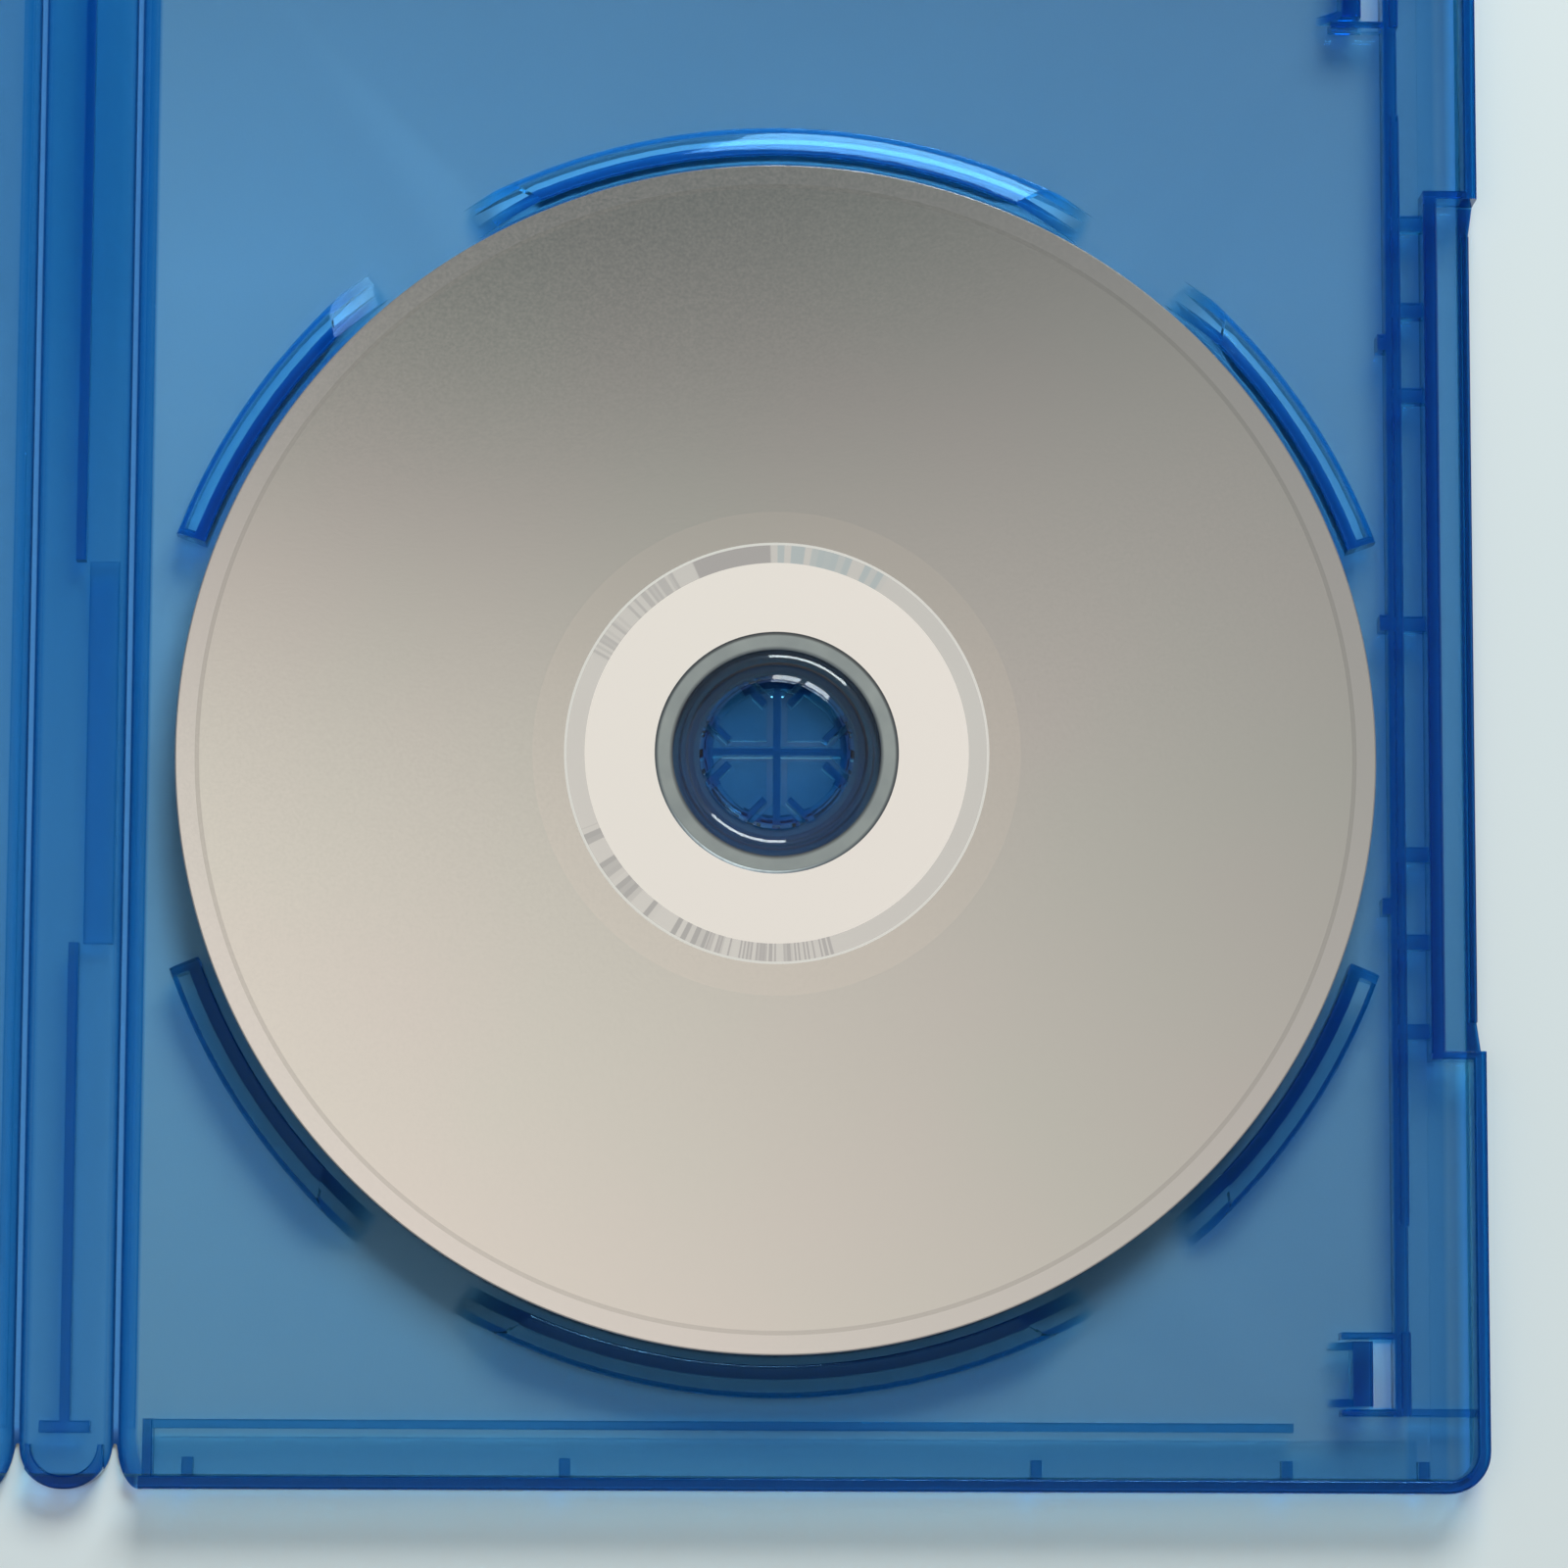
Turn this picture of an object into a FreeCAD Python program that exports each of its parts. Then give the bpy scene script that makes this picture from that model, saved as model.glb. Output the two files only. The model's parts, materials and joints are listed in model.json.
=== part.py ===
import FreeCAD
import Part
import math
import os

from FreeCAD import Vector

# Hinged moulded case for one 120 mm disc, lying open and flat with its inside up.
# The origin is the middle of the spine on the table. X runs from the cover to the tray,
# Y runs up the case and Z points up. Sizes are millimetres. U is the distance of a point
# of the tray or the cover from the axis of its living hinge.

# Overall sizes: a leaf is as wide as the disc, its margin at the hinge and the bay at the opening edge
CASE_HEIGHT = 171.5
HINGE_MARGIN = 5.0
DISC_D = 120.0
EDGE_BAY = 10.7
HINGE_PITCH = 9.77
LEAF_CORNER_R = 4.2
HINGE_CORNER_U = 2.6
HINGE_CORNER_Y = 6.0

# Sheets that wrap the outside of the case
FILM_T = 0.10
PAPER_T = 0.12
SHEET_GAP = 0.04
FILM_FOLD_GAP = 0.05
FILM_INSET = 0.5
FILM_SEAT_GAP = 0.02
BORDER_W = 1.5
PAPER_FIT = 0.3

# Moulding walls and living hinges
PANEL_T = 0.9
RIM_T = 1.3
RIM_ROUND = 0.3
RIM_GAP = 0.36
EDGE_BREAK = 0.15
WEB_T = 0.35
WEB_HALF = 0.30
GROOVE_RUN = 0.65
HINGE_CLEARANCE = 0.1
BEAD_W = 1.05
BEAD_H = 0.3

# Disc and the hub that holds it
DISC_HOLE_D = 15.0
DISC_T = 1.2
DISC_EDGE = 0.1
DISC_Y = -12.4
DISC_SEAT_H = 2.2
HUB_FIT = 0.2
HUB_SEAT_R = 9.2
HUB_WALL = 0.9
HUB_ROUND = 0.4
HUB_ABOVE_DISC = 1.0
HUB_SLOT_W = 0.58
HUB_ARM_HALF = 0.45
HUB_FLARE_START = 5.2
HUB_SLOT_FLOOR = 0.2
HUB_RIB_T = 0.7
HUB_WINDOW_HALF_DEG = 15.0
HUB_LIP_REACH = 0.25
HUB_LIP_LIFT = 0.15
HUB_LIP_RISE = 0.25
HUB_LIP_EDGE = 0.15
HUB_LIP_H = 0.68
HUB_LIP_ARM_HALF_DEG = 18.0
HUB_LIP_PETAL_HALF_DEG = 23.0

# Curved ridges round the disc: start angle, end angle, ramp at start, ramp at end
RIDGE_FIT = 1.0
RIDGE_W = 3.2
RIDGE_WALL = 0.8
RIDGE_INNER_WALL = 1.25
RIDGE_ROOF = 1.3
RIDGE_H = 3.8
RIDGE_FALL = 1.0
RIDGE_ROUND = 0.25
RIDGE_SHOULDER = 1.3
RIDGE_RAMP = 7.5
RIDGES = [
    (60.0, 120.0, True, True),
    (240.0, 300.0, True, True),
    (130.0, 160.0, True, False),
    (20.0, 50.0, False, True),
    (200.0, 230.0, False, True),
    (310.0, 340.0, True, False),
]

# Rail beside the opening edge and the thumb notch outside it, placed from the opening edge
RAIL_INSET = 9.3
RAIL_T = 1.4
RAIL_H = 3.0
RAIL_STEP_T = 0.95
RAIL_STEP_OUT = 0.1
RAIL_STEP_H = 3.6
RAIL_STEP_BELOW = 17.3
RAIL_STEP_ABOVE = 8.7
RAIL_BUMP_W = 1.6
RAIL_BUMP_T = 0.8
RAIL_BUMP_PITCH = 28.7
BAY_STEP_H = 0.15
NOTCH_Y = 1.3
NOTCH_LENGTH = 86.6
NOTCH_WALL_INSET = 5.5
NOTCH_WALL_T = 1.4
NOTCH_END_T = 0.8
NOTCH_RECESS = 0.45
NOTCH_RAMP = 3.2
NOTCH_LIP_T = 0.8
NOTCH_LIP_H = 0.9
LADDER_T = 1.5
LADDER_H = 2.2
LADDER_OFFSETS = [0.0, 23.4, 32.2, 41.2]

# Latch pockets beside the rail, and the hooks of the cover that enter them
LATCH_INSET_BOTTOM = 11.75
LATCH_INSET_TOP = 19.05
LATCH_LENGTH = 8.3
LATCH_WALL_INSET = 13.6
LATCH_WALL_T = 2.0
LATCH_WALL_LENGTH = 6.4
LATCH_WALL_H = 4.0
LATCH_PLATE_T = 0.7
LATCH_PLATE_REACH = 1.0
LATCH_PLATE_H = 3.0
LATCH_SLOT_INSET = 11.15
LATCH_SLOT_W = 1.85
LATCH_SLOT_LENGTH = 6.4
LATCH_BACK_T = 1.0
LATCH_BACK_H = 3.8
GUSSET_T = 0.8
GUSSET_REACH = 2.3
GUSSET_H = 3.4
HOOK_T = 0.9
HOOK_LENGTH = 5.6
HOOK_H = 6.0
HOOK_BEAD = 0.35
CROSS_RIB_T = 0.8
CROSS_RIB_H = 2.2

# Ledges and ribs beside the top and bottom rims of the tray, placed from the outside of the rim
LEDGE_INSET = 6.45
LEDGE_T = 0.9
LEDGE_H = 2.0
LEDGE_U0 = 3.2
LEDGE_END_INSET = 19.3
STEP_INSET = 5.25
STEP_H = 0.35
STEP_END_INSET = 6.9
END_WALL_GAP = 0.3
END_WALL_T = 1.0
END_WALL_H = 2.8
RIM_RIB_W = 1.1
RIM_RIB_DEPTH = 1.9
RIM_RIB_H = 2.4
RIM_RIBS_FROM_HINGE = [7.3, 44.4]
RIM_RIBS_FROM_EDGE = [44.8, 20.0, 6.4]

# Spine
SPINE_END_R = 4.4
SPINE_WALL_T = 1.3
SPINE_WALL_H = 1.8
SPINE_RIB_T = 1.0
SPINE_RIB_END = 5.5
SPINE_BREAK_LENGTH = 38.6
SPINE_PAD_X = 0.85
SPINE_PAD_H = 0.7
SPINE_BAR_LENGTH = 5.0
SPINE_BAR_T = 1.2

# Cover: lip that drops inside the tray's rim, and two tabs that hold a booklet
LIP_T = 0.9
LIP_FIT = 0.25
LIP_ENTRY = 0.58
LIP_U0 = 10.0
LIP_CORNER = 8.0
TAB_OFFSET = 45.0
TAB_LENGTH = 20.0
TAB_REACH = 9.0
TAB_ROUND = 4.5
TAB_T = 0.8
TAB_GAP = 2.5
TAB_POST_T = 1.2
TAB_INSET = 10.8

# Levels and places worked out from the sizes above
PAPER_Z = FILM_T + SHEET_GAP
SHELL_Z = PAPER_Z + PAPER_T + SHEET_GAP
AXIS_Z = SHELL_Z + WEB_T
PANEL_Z = SHELL_Z + PANEL_T
HALF_PITCH = HINGE_PITCH / 2
RIM_TOP_Z = AXIS_Z + HALF_PITCH - RIM_GAP / 2
CLOSED_Z = 2 * AXIS_Z + HINGE_PITCH
DISC_Z = PANEL_Z + DISC_SEAT_H
DISC_TOP_Z = DISC_Z + DISC_T
DISC_U = HINGE_MARGIN + DISC_D / 2
HUB_R = DISC_HOLE_D / 2 - HUB_FIT
HUB_TOP_Z = DISC_TOP_Z + HUB_ABOVE_DISC
RIDGE_R = DISC_D / 2 + RIDGE_FIT
RIDGE_TOP_Z = PANEL_Z + RIDGE_H
LEAF_WIDTH = HINGE_MARGIN + DISC_D + EDGE_BAY
HALF_HEIGHT = CASE_HEIGHT / 2
RIM_IN_U = LEAF_WIDTH - RIM_T
RIM_IN_Y = HALF_HEIGHT - RIM_T
GROOVE_U = WEB_HALF + GROOVE_RUN
RAIL_U = LEAF_WIDTH - RAIL_INSET
NOTCH_WALL_U = LEAF_WIDTH - NOTCH_WALL_INSET
NOTCH_Y0 = NOTCH_Y - NOTCH_LENGTH / 2
NOTCH_Y1 = NOTCH_Y + NOTCH_LENGTH / 2
LATCH_Y = [LATCH_INSET_BOTTOM - HALF_HEIGHT, HALF_HEIGHT - LATCH_INSET_TOP]
LATCH_WALL_U = LEAF_WIDTH - LATCH_WALL_INSET
LATCH_SLOT_U = LEAF_WIDTH - LATCH_SLOT_INSET
SPINE_HALF = HALF_PITCH - WEB_HALF
SPINE_TOP_HALF = HALF_PITCH - GROOVE_U
SPINE_WALL_Z = PANEL_Z + SPINE_WALL_H
RIM_START_U = max(HINGE_CORNER_U, SPINE_WALL_Z - AXIS_Z + HINGE_CLEARANCE)
END_WALL_U = RIM_START_U + END_WALL_GAP

UP = Vector(0, 0, 1)
ORIGIN = Vector(0, 0, 0)
SINK = 0.2


def box(x0, x1, y0, y1, z0, z1):
    """Block between two corners."""
    return Part.makeBox(x1 - x0, y1 - y0, z1 - z0, Vector(x0, y0, z0))


def soften(shape, z, size):
    """Breaks the edges of a shape that lie at height z."""
    edges = [e for e in shape.Edges if e.BoundBox.ZMin > z - 0.001]
    return shape.makeChamfer(size, edges)


def wall(u0, u1, y0, y1, height):
    """Wall that stands on a leaf's panel, with its top edges broken."""
    block = box(u0, u1, min(y0, y1), max(y0, y1), PANEL_Z - SINK, PANEL_Z + height)
    return soften(block, PANEL_Z + height, EDGE_BREAK)


def prism(points, direction):
    """Closed polygon of points swept along a direction."""
    wire = Part.makePolygon(points + [points[0]])
    return Part.Face(wire).extrude(direction)


def join(shapes):
    """One solid from shapes that overlap."""
    return shapes[0].multiFuse(shapes[1:]).removeSplitter()


def rounded_plate(u0, u1, half_y, radius, z0, z1):
    """Plate with its two corners at u1 rounded."""
    k = radius * math.sqrt(0.5)
    a = Vector(u0, -half_y, z0)
    b = Vector(u1 - radius, -half_y, z0)
    b_mid = Vector(u1 - radius + k, -half_y + radius - k, z0)
    c = Vector(u1, -half_y + radius, z0)
    d = Vector(u1, half_y - radius, z0)
    d_mid = Vector(u1 - radius + k, half_y - radius + k, z0)
    e = Vector(u1 - radius, half_y, z0)
    f = Vector(u0, half_y, z0)
    edges = [
        Part.makeLine(a, b),
        Part.Arc(b, b_mid, c).toShape(),
        Part.makeLine(c, d),
        Part.Arc(d, d_mid, e).toShape(),
        Part.makeLine(e, f),
        Part.makeLine(f, a),
    ]
    return Part.Face(Part.Wire(edges)).extrude(Vector(0, 0, z1 - z0))


def sector(r_in, r_out, start, end, z0, z1):
    """Ring sector about the Z axis, angles in degrees."""
    outer = Part.makeCylinder(r_out, z1 - z0, Vector(0, 0, z0), UP, end - start)
    inner = Part.makeCylinder(r_in, z1 - z0, Vector(0, 0, z0), UP, 360)
    ring = outer.cut(inner)
    ring.rotate(ORIGIN, UP, start)
    return ring


def hinge_corner(sign, z0, z1, inset=0.0):
    """Waste at a hinge-side corner of a leaf, outside a quarter of an ellipse."""
    block = box(-1, HINGE_CORNER_U, 0, HINGE_CORNER_Y + 1, z0, z1)
    ellipse = Part.Ellipse(ORIGIN, HINGE_CORNER_Y, HINGE_CORNER_U)
    keep = Part.Face(Part.Wire(ellipse.toShape())).extrude(Vector(0, 0, z1 - z0))
    keep.rotate(ORIGIN, UP, 90)
    keep.translate(Vector(HINGE_CORNER_U, 0, z0))
    waste = block.cut(keep)
    if sign < 0:
        waste = waste.mirror(ORIGIN, Vector(0, 1, 0))
    waste.translate(Vector(inset, sign * (HALF_HEIGHT - HINGE_CORNER_Y - inset), 0))
    return waste


def leaf_panel():
    """Flat wall of a leaf, thinned towards the living hinge, with a border that carries the film."""
    section = [
        Vector(WEB_HALF, -HALF_HEIGHT, SHELL_Z),
        Vector(LEAF_WIDTH, -HALF_HEIGHT, SHELL_Z),
        Vector(LEAF_WIDTH, -HALF_HEIGHT, PANEL_Z),
        Vector(GROOVE_U, -HALF_HEIGHT, PANEL_Z),
        Vector(WEB_HALF, -HALF_HEIGHT, AXIS_Z),
    ]
    slab = prism(section, Vector(0, CASE_HEIGHT, 0))
    plan = rounded_plate(0, LEAF_WIDTH, HALF_HEIGHT, LEAF_CORNER_R, 0, RIM_TOP_Z)
    border_z = FILM_T + FILM_SEAT_GAP
    border = box(WEB_HALF, LEAF_WIDTH, -HALF_HEIGHT, HALF_HEIGHT, border_z, SHELL_Z)
    pocket_u = LEAF_WIDTH - BORDER_W
    pocket_y = HALF_HEIGHT - BORDER_W
    border = border.cut(box(0, pocket_u, -pocket_y, pocket_y, 0, SHELL_Z))
    panel = slab.fuse(border).common(plan)
    for sign in (-1, 1):
        panel = panel.cut(hinge_corner(sign, 0, RIM_TOP_Z))
    return panel


def leaf_rim():
    """Wall round the three free sides of a leaf, with its top edges rounded."""
    base_z = PANEL_Z - SINK
    outer = rounded_plate(RIM_START_U, LEAF_WIDTH, HALF_HEIGHT, LEAF_CORNER_R, base_z, RIM_TOP_Z)
    inner_r = LEAF_CORNER_R - RIM_T
    inner = rounded_plate(RIM_START_U - 1, RIM_IN_U, RIM_IN_Y, inner_r, base_z, RIM_TOP_Z)
    rim = outer.cut(inner)
    top = [e for e in rim.Edges if e.BoundBox.ZMin > RIM_TOP_Z - 0.01]
    return rim.makeFillet(RIM_ROUND, top)


def notch_cut():
    """Waste of the thumb notch in the rim of the opening edge, which draws the edge in on a slant."""
    inside = NOTCH_WALL_U + NOTCH_WALL_T
    beyond = LEAF_WIDTH + 1
    above = box(inside, beyond, NOTCH_Y0, NOTCH_Y1, PANEL_Z, RIM_TOP_Z + 1)
    deep = LEAF_WIDTH - NOTCH_RECESS
    plan = [
        Vector(LEAF_WIDTH, NOTCH_Y0, 0),
        Vector(deep, NOTCH_Y0 + NOTCH_RAMP, 0),
        Vector(deep, NOTCH_Y1 - NOTCH_RAMP, 0),
        Vector(LEAF_WIDTH, NOTCH_Y1, 0),
        Vector(beyond, NOTCH_Y1, 0),
        Vector(beyond, NOTCH_Y0, 0),
    ]
    return above.fuse(prism(plan, Vector(0, 0, RIM_TOP_Z)))


def notch_walls():
    """Walls that close the thumb notch off from the inside, and the lip along its edge."""
    low = PANEL_Z - SINK
    u0 = NOTCH_WALL_U
    u1 = u0 + NOTCH_WALL_T
    end_u = RIM_IN_U + RIM_T / 2
    y0 = NOTCH_Y0 - NOTCH_END_T
    y1 = NOTCH_Y1 + NOTCH_END_T
    back = box(u0, u1, y0, y1, low, RIM_TOP_Z)
    ends = [
        box(u0, end_u, y0, NOTCH_Y0, low, RIM_TOP_Z),
        box(u0, end_u, NOTCH_Y1, y1, low, RIM_TOP_Z),
    ]
    bay = soften(join([back] + ends), RIM_TOP_Z, EDGE_BREAK)
    edge = LEAF_WIDTH - NOTCH_RECESS
    lip_y0 = NOTCH_Y0 + NOTCH_RAMP
    lip_y1 = NOTCH_Y1 - NOTCH_RAMP
    lip = wall(edge - NOTCH_LIP_T, edge, lip_y0, lip_y1, NOTCH_LIP_H)
    return [bay, lip]


def leaf_shell(extra):
    """Panel, rim and thumb notch of a leaf, fused with its own inner walls."""
    body = leaf_panel().fuse(leaf_rim()).cut(notch_cut())
    return join([body] + notch_walls() + extra)


def ramp_cut(angle, side, drop):
    """Waste above the ramp at one end of a ridge. Side is 1 where the ridge runs on anticlockwise."""
    foot = PANEL_Z - drop
    head = RIDGE_TOP_Z - drop
    over = 2 * RIDGE_H
    profile = [
        (-over, foot),
        (0.0, foot),
        (RIDGE_RAMP, head),
        (RIDGE_RAMP, head + over),
        (-over, head + over),
    ]
    points = [Vector(RIDGE_R - RIDGE_W, side * t, z) for t, z in profile]
    waste = prism(points, Vector(3 * RIDGE_W, 0, 0))
    waste.rotate(ORIGIN, UP, angle)
    return waste


def ridge_block(r_in, r_out, low, drop, start, end):
    """Bow about the disc's centre under a roof that falls outwards, lowered by drop."""
    fall = RIDGE_FALL / RIDGE_W
    section = [
        Vector(r_in, 0, low),
        Vector(r_in, 0, RIDGE_TOP_Z - drop - fall * (r_in - RIDGE_R)),
        Vector(r_out, 0, RIDGE_TOP_Z - drop - fall * (r_out - RIDGE_R)),
        Vector(r_out, 0, low),
    ]
    face = Part.Face(Part.makePolygon(section + section[:1]))
    face.rotate(ORIGIN, UP, start)
    return face.revolve(ORIGIN, UP, end - start)


def roof_arc(block, radius):
    """Upper edge of a bow that runs round the disc's centre at one radius."""
    arcs = [e for e in block.Edges if isinstance(e.Curve, Part.Circle)]
    arcs = [e for e in arcs if e.BoundBox.ZMin > PANEL_Z and abs(e.Curve.Radius - radius) < 0.01]
    return [e for e in arcs if e.BoundBox.ZLength < 0.01]


def ridge(start, end, ramp_start, ramp_end):
    """One curved ridge and the hollow under it, about the disc's centre."""
    end_wall = math.degrees(RIDGE_WALL / RIDGE_R)
    r_out = RIDGE_R + RIDGE_W
    outer = ridge_block(RIDGE_R, r_out, PANEL_Z - SINK, 0.0, start, end)
    outer = outer.makeFillet(RIDGE_SHOULDER, roof_arc(outer, r_out))
    outer = outer.makeFillet(RIDGE_ROUND, roof_arc(outer, RIDGE_R))
    r_hollow = RIDGE_R + RIDGE_INNER_WALL
    low = SHELL_Z - SINK
    hollow = ridge_block(
        r_hollow, r_out - RIDGE_WALL, low, RIDGE_ROOF, start + end_wall, end - end_wall
    )
    for angle, side, ramped in ((start, 1, ramp_start), (end, -1, ramp_end)):
        if ramped:
            outer = outer.cut(ramp_cut(angle, side, 0.0))
            hollow = hollow.cut(ramp_cut(angle, side, RIDGE_ROOF))
    return outer, hollow


def hub_slots(low, high):
    """Slots that part the four petals of the hub from the cross between them."""
    near = HUB_ARM_HALF
    far = near + HUB_SLOT_W
    middle = (near + far) / 2
    reach = HUB_FLARE_START + HUB_SLOT_W / 2
    slots = []
    for quarter in range(4):
        along_x = box(near, reach, near, far, low, high)
        along_y = box(near, far, near, reach, low, high)
        out_x = box(0, HUB_R, -HUB_SLOT_W / 2, HUB_SLOT_W / 2, low, high)
        out_x.rotate(ORIGIN, UP, 45)
        out_y = out_x.copy()
        out_x.translate(Vector(HUB_FLARE_START, middle, 0))
        out_y.translate(Vector(middle, HUB_FLARE_START, 0))
        slot = along_x.multiFuse([along_y, out_x, out_y])
        slot.rotate(ORIGIN, UP, 90 * quarter)
        slots.append(slot)
    return slots


def hub_ribs(low, high):
    """Ribs under the petals, beside the slanted ends of the slots, and webs under the cross."""
    middle = HUB_ARM_HALF + HUB_SLOT_W / 2
    near = HUB_SLOT_W / 2
    rib = box(0, HUB_R, near, near + HUB_RIB_T, low, high)
    rib.rotate(ORIGIN, UP, 45)
    rib.translate(Vector(HUB_FLARE_START, middle, 0))
    pair = rib.fuse(rib.mirror(ORIGIN, Vector(1, -1, 0)))
    inside = Part.makeCylinder(HUB_R, high - low, Vector(0, 0, low))
    web = box(0, HUB_R, -HUB_RIB_T / 2, HUB_RIB_T / 2, low, high)
    ribs = []
    for quarter in range(4):
        turned = pair.fuse(web)
        turned.rotate(ORIGIN, UP, 90 * quarter)
        ribs.append(turned.common(inside))
    return ribs


def hub_lip(middle, half):
    """Lip on the crown that keeps the disc down, sloping on top, about an angle in degrees."""
    low = DISC_TOP_Z + HUB_LIP_LIFT
    inner = HUB_R - SINK
    outer = DISC_HOLE_D / 2 + HUB_LIP_REACH
    section = [
        Vector(inner, 0, low),
        Vector(outer, 0, low + HUB_LIP_RISE),
        Vector(outer, 0, low + HUB_LIP_RISE + HUB_LIP_EDGE),
        Vector(inner, 0, low + HUB_LIP_H),
    ]
    face = Part.Face(Part.makePolygon(section + [section[0]]))
    lip = face.revolve(ORIGIN, UP, 2 * half)
    lip.rotate(ORIGIN, UP, middle - half)
    return lip


def hub():
    """Raised seat and petalled crown that hold the disc, and the hollow under them."""
    seat = Part.makeCylinder(HUB_SEAT_R, DISC_Z - PANEL_Z + SINK, Vector(0, 0, PANEL_Z - SINK))
    crown = Part.makeCylinder(HUB_R, HUB_TOP_Z - DISC_Z + SINK, Vector(0, 0, DISC_Z - SINK))
    crown = crown.makeFillet(HUB_ROUND, [e for e in crown.Edges if e.BoundBox.ZMin > HUB_TOP_Z - 0.01])
    low = SHELL_Z - SINK
    roof = HUB_TOP_Z - HUB_WALL
    lips = []
    windows = []
    for quarter in range(4):
        arm = 90 * quarter
        petal = arm + 45
        lips.extend([hub_lip(arm, HUB_LIP_ARM_HALF_DEG), hub_lip(petal, HUB_LIP_PETAL_HALF_DEG)])
        start = petal - HUB_WINDOW_HALF_DEG
        end = petal + HUB_WINDOW_HALF_DEG
        windows.append(sector(HUB_R - 2 * HUB_WALL, HUB_R + 1, start, end, DISC_Z + HUB_SLOT_FLOOR, roof))
    wide = Part.makeCylinder(HUB_SEAT_R - HUB_WALL, DISC_Z - HUB_WALL - low, Vector(0, 0, low))
    narrow = Part.makeCylinder(HUB_R - HUB_WALL, roof - low, Vector(0, 0, low))
    slots = hub_slots(DISC_Z + HUB_SLOT_FLOOR, HUB_TOP_Z + 1)
    solid = seat.multiFuse([crown] + lips)
    solid = solid.cut([narrow] + windows + slots)
    solid = solid.fuse(hub_ribs(DISC_Z - HUB_WALL, roof + SINK)).removeSplitter()
    return solid, wide


def rail_walls():
    """Long rail beside the opening edge, its taller stretch, its bumps and the ladder to the notch wall."""
    half = LATCH_LENGTH / 2
    u1 = RAIL_U + RAIL_T
    step_u1 = u1 + RAIL_STEP_OUT
    step_y0 = NOTCH_Y0 - RAIL_STEP_BELOW
    step_y1 = NOTCH_Y1 + RAIL_STEP_ABOVE
    walls = [
        wall(RAIL_U, u1, LATCH_Y[0] - half, LATCH_Y[1] + half, RAIL_H),
        wall(step_u1 - RAIL_STEP_T, step_u1, step_y0, step_y1, RAIL_STEP_H),
        box(NOTCH_WALL_U, RIM_IN_U + SINK, -RIM_IN_Y, RIM_IN_Y, PANEL_Z - SINK, PANEL_Z + BAY_STEP_H),
    ]
    for offset in (-RAIL_BUMP_PITCH, 0.0, RAIL_BUMP_PITCH):
        y0 = NOTCH_Y + offset - RAIL_BUMP_W / 2
        walls.append(wall(RAIL_U - RAIL_BUMP_T, RAIL_U + RAIL_T / 2, y0, y0 + RAIL_BUMP_W, RAIL_H))
    for offset in sorted(set(LADDER_OFFSETS + [-o for o in LADDER_OFFSETS])):
        y0 = NOTCH_Y + offset - LADDER_T / 2
        walls.append(wall(u1 - SINK, NOTCH_WALL_U + SINK, y0, y0 + LADDER_T, LADDER_H))
    return walls


def gusset(y):
    """Sloping web that stiffens a latch wall."""
    low = PANEL_Z - SINK
    u1 = LATCH_WALL_U + SINK
    points = [
        Vector(LATCH_WALL_U - GUSSET_REACH, y - GUSSET_T / 2, low),
        Vector(u1, y - GUSSET_T / 2, low),
        Vector(u1, y - GUSSET_T / 2, PANEL_Z + GUSSET_H),
    ]
    return prism(points, Vector(0, GUSSET_T, 0))


def latch_walls(y):
    """Walls of one latch pocket, closed on its far side by the rail."""
    half = LATCH_LENGTH / 2
    wall_half = LATCH_WALL_LENGTH / 2
    plate_u0 = LATCH_WALL_U - LATCH_PLATE_REACH
    back_u1 = RAIL_U + RAIL_T + RAIL_STEP_OUT
    walls = [
        wall(LATCH_WALL_U, LATCH_WALL_U + LATCH_WALL_T, y - wall_half, y + wall_half, LATCH_WALL_H),
        wall(back_u1 - LATCH_BACK_T, back_u1, y - half, y + half, LATCH_BACK_H),
    ]
    for side in (-1, 1):
        outside = y + side * half
        walls.append(wall(plate_u0, RAIL_U + SINK, outside, outside - side * LATCH_PLATE_T, LATCH_PLATE_H))
        walls.append(gusset(y + side * (wall_half - GUSSET_T / 2)))
    outward = math.copysign(1, y)
    rib_y = y + outward * half
    rib_u0 = LATCH_SLOT_U + LATCH_SLOT_W / 2
    walls.append(wall(rib_u0, RIM_IN_U + SINK, rib_y, rib_y - outward * CROSS_RIB_T, CROSS_RIB_H))
    return walls


def latch_slot(y):
    """Through slot in the floor of one latch pocket."""
    half = LATCH_SLOT_LENGTH / 2
    return box(LATCH_SLOT_U, LATCH_SLOT_U + LATCH_SLOT_W, y - half, y + half, 0, PANEL_Z + 1)


def edge_walls(sign):
    """Ledge, floor step, end wall and rim ribs along the top or the bottom rim of the tray."""
    inside = sign * (RIM_IN_Y + SINK)
    ledge_y = sign * (HALF_HEIGHT - LEDGE_INSET)
    ledge_y0 = ledge_y - LEDGE_T / 2
    ledge_u1 = LEAF_WIDTH - LEDGE_END_INSET
    step_y = sign * (HALF_HEIGHT - STEP_INSET)
    step_u1 = LEAF_WIDTH - STEP_END_INSET
    end_u1 = END_WALL_U + END_WALL_T
    walls = [
        wall(LEDGE_U0, ledge_u1, ledge_y0, ledge_y0 + LEDGE_T, LEDGE_H),
        wall(LEDGE_U0, step_u1, step_y, inside, STEP_H),
        wall(END_WALL_U, end_u1, ledge_y - sign * LEDGE_T / 2, inside, END_WALL_H),
    ]
    rib_places = RIM_RIBS_FROM_HINGE + [LEAF_WIDTH - inset for inset in RIM_RIBS_FROM_EDGE]
    rib_tip = sign * (RIM_IN_Y - RIM_RIB_DEPTH)
    for u in rib_places:
        walls.append(wall(u - RIM_RIB_W / 2, u + RIM_RIB_W / 2, rib_tip, inside, RIM_RIB_H))
    return walls


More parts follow.
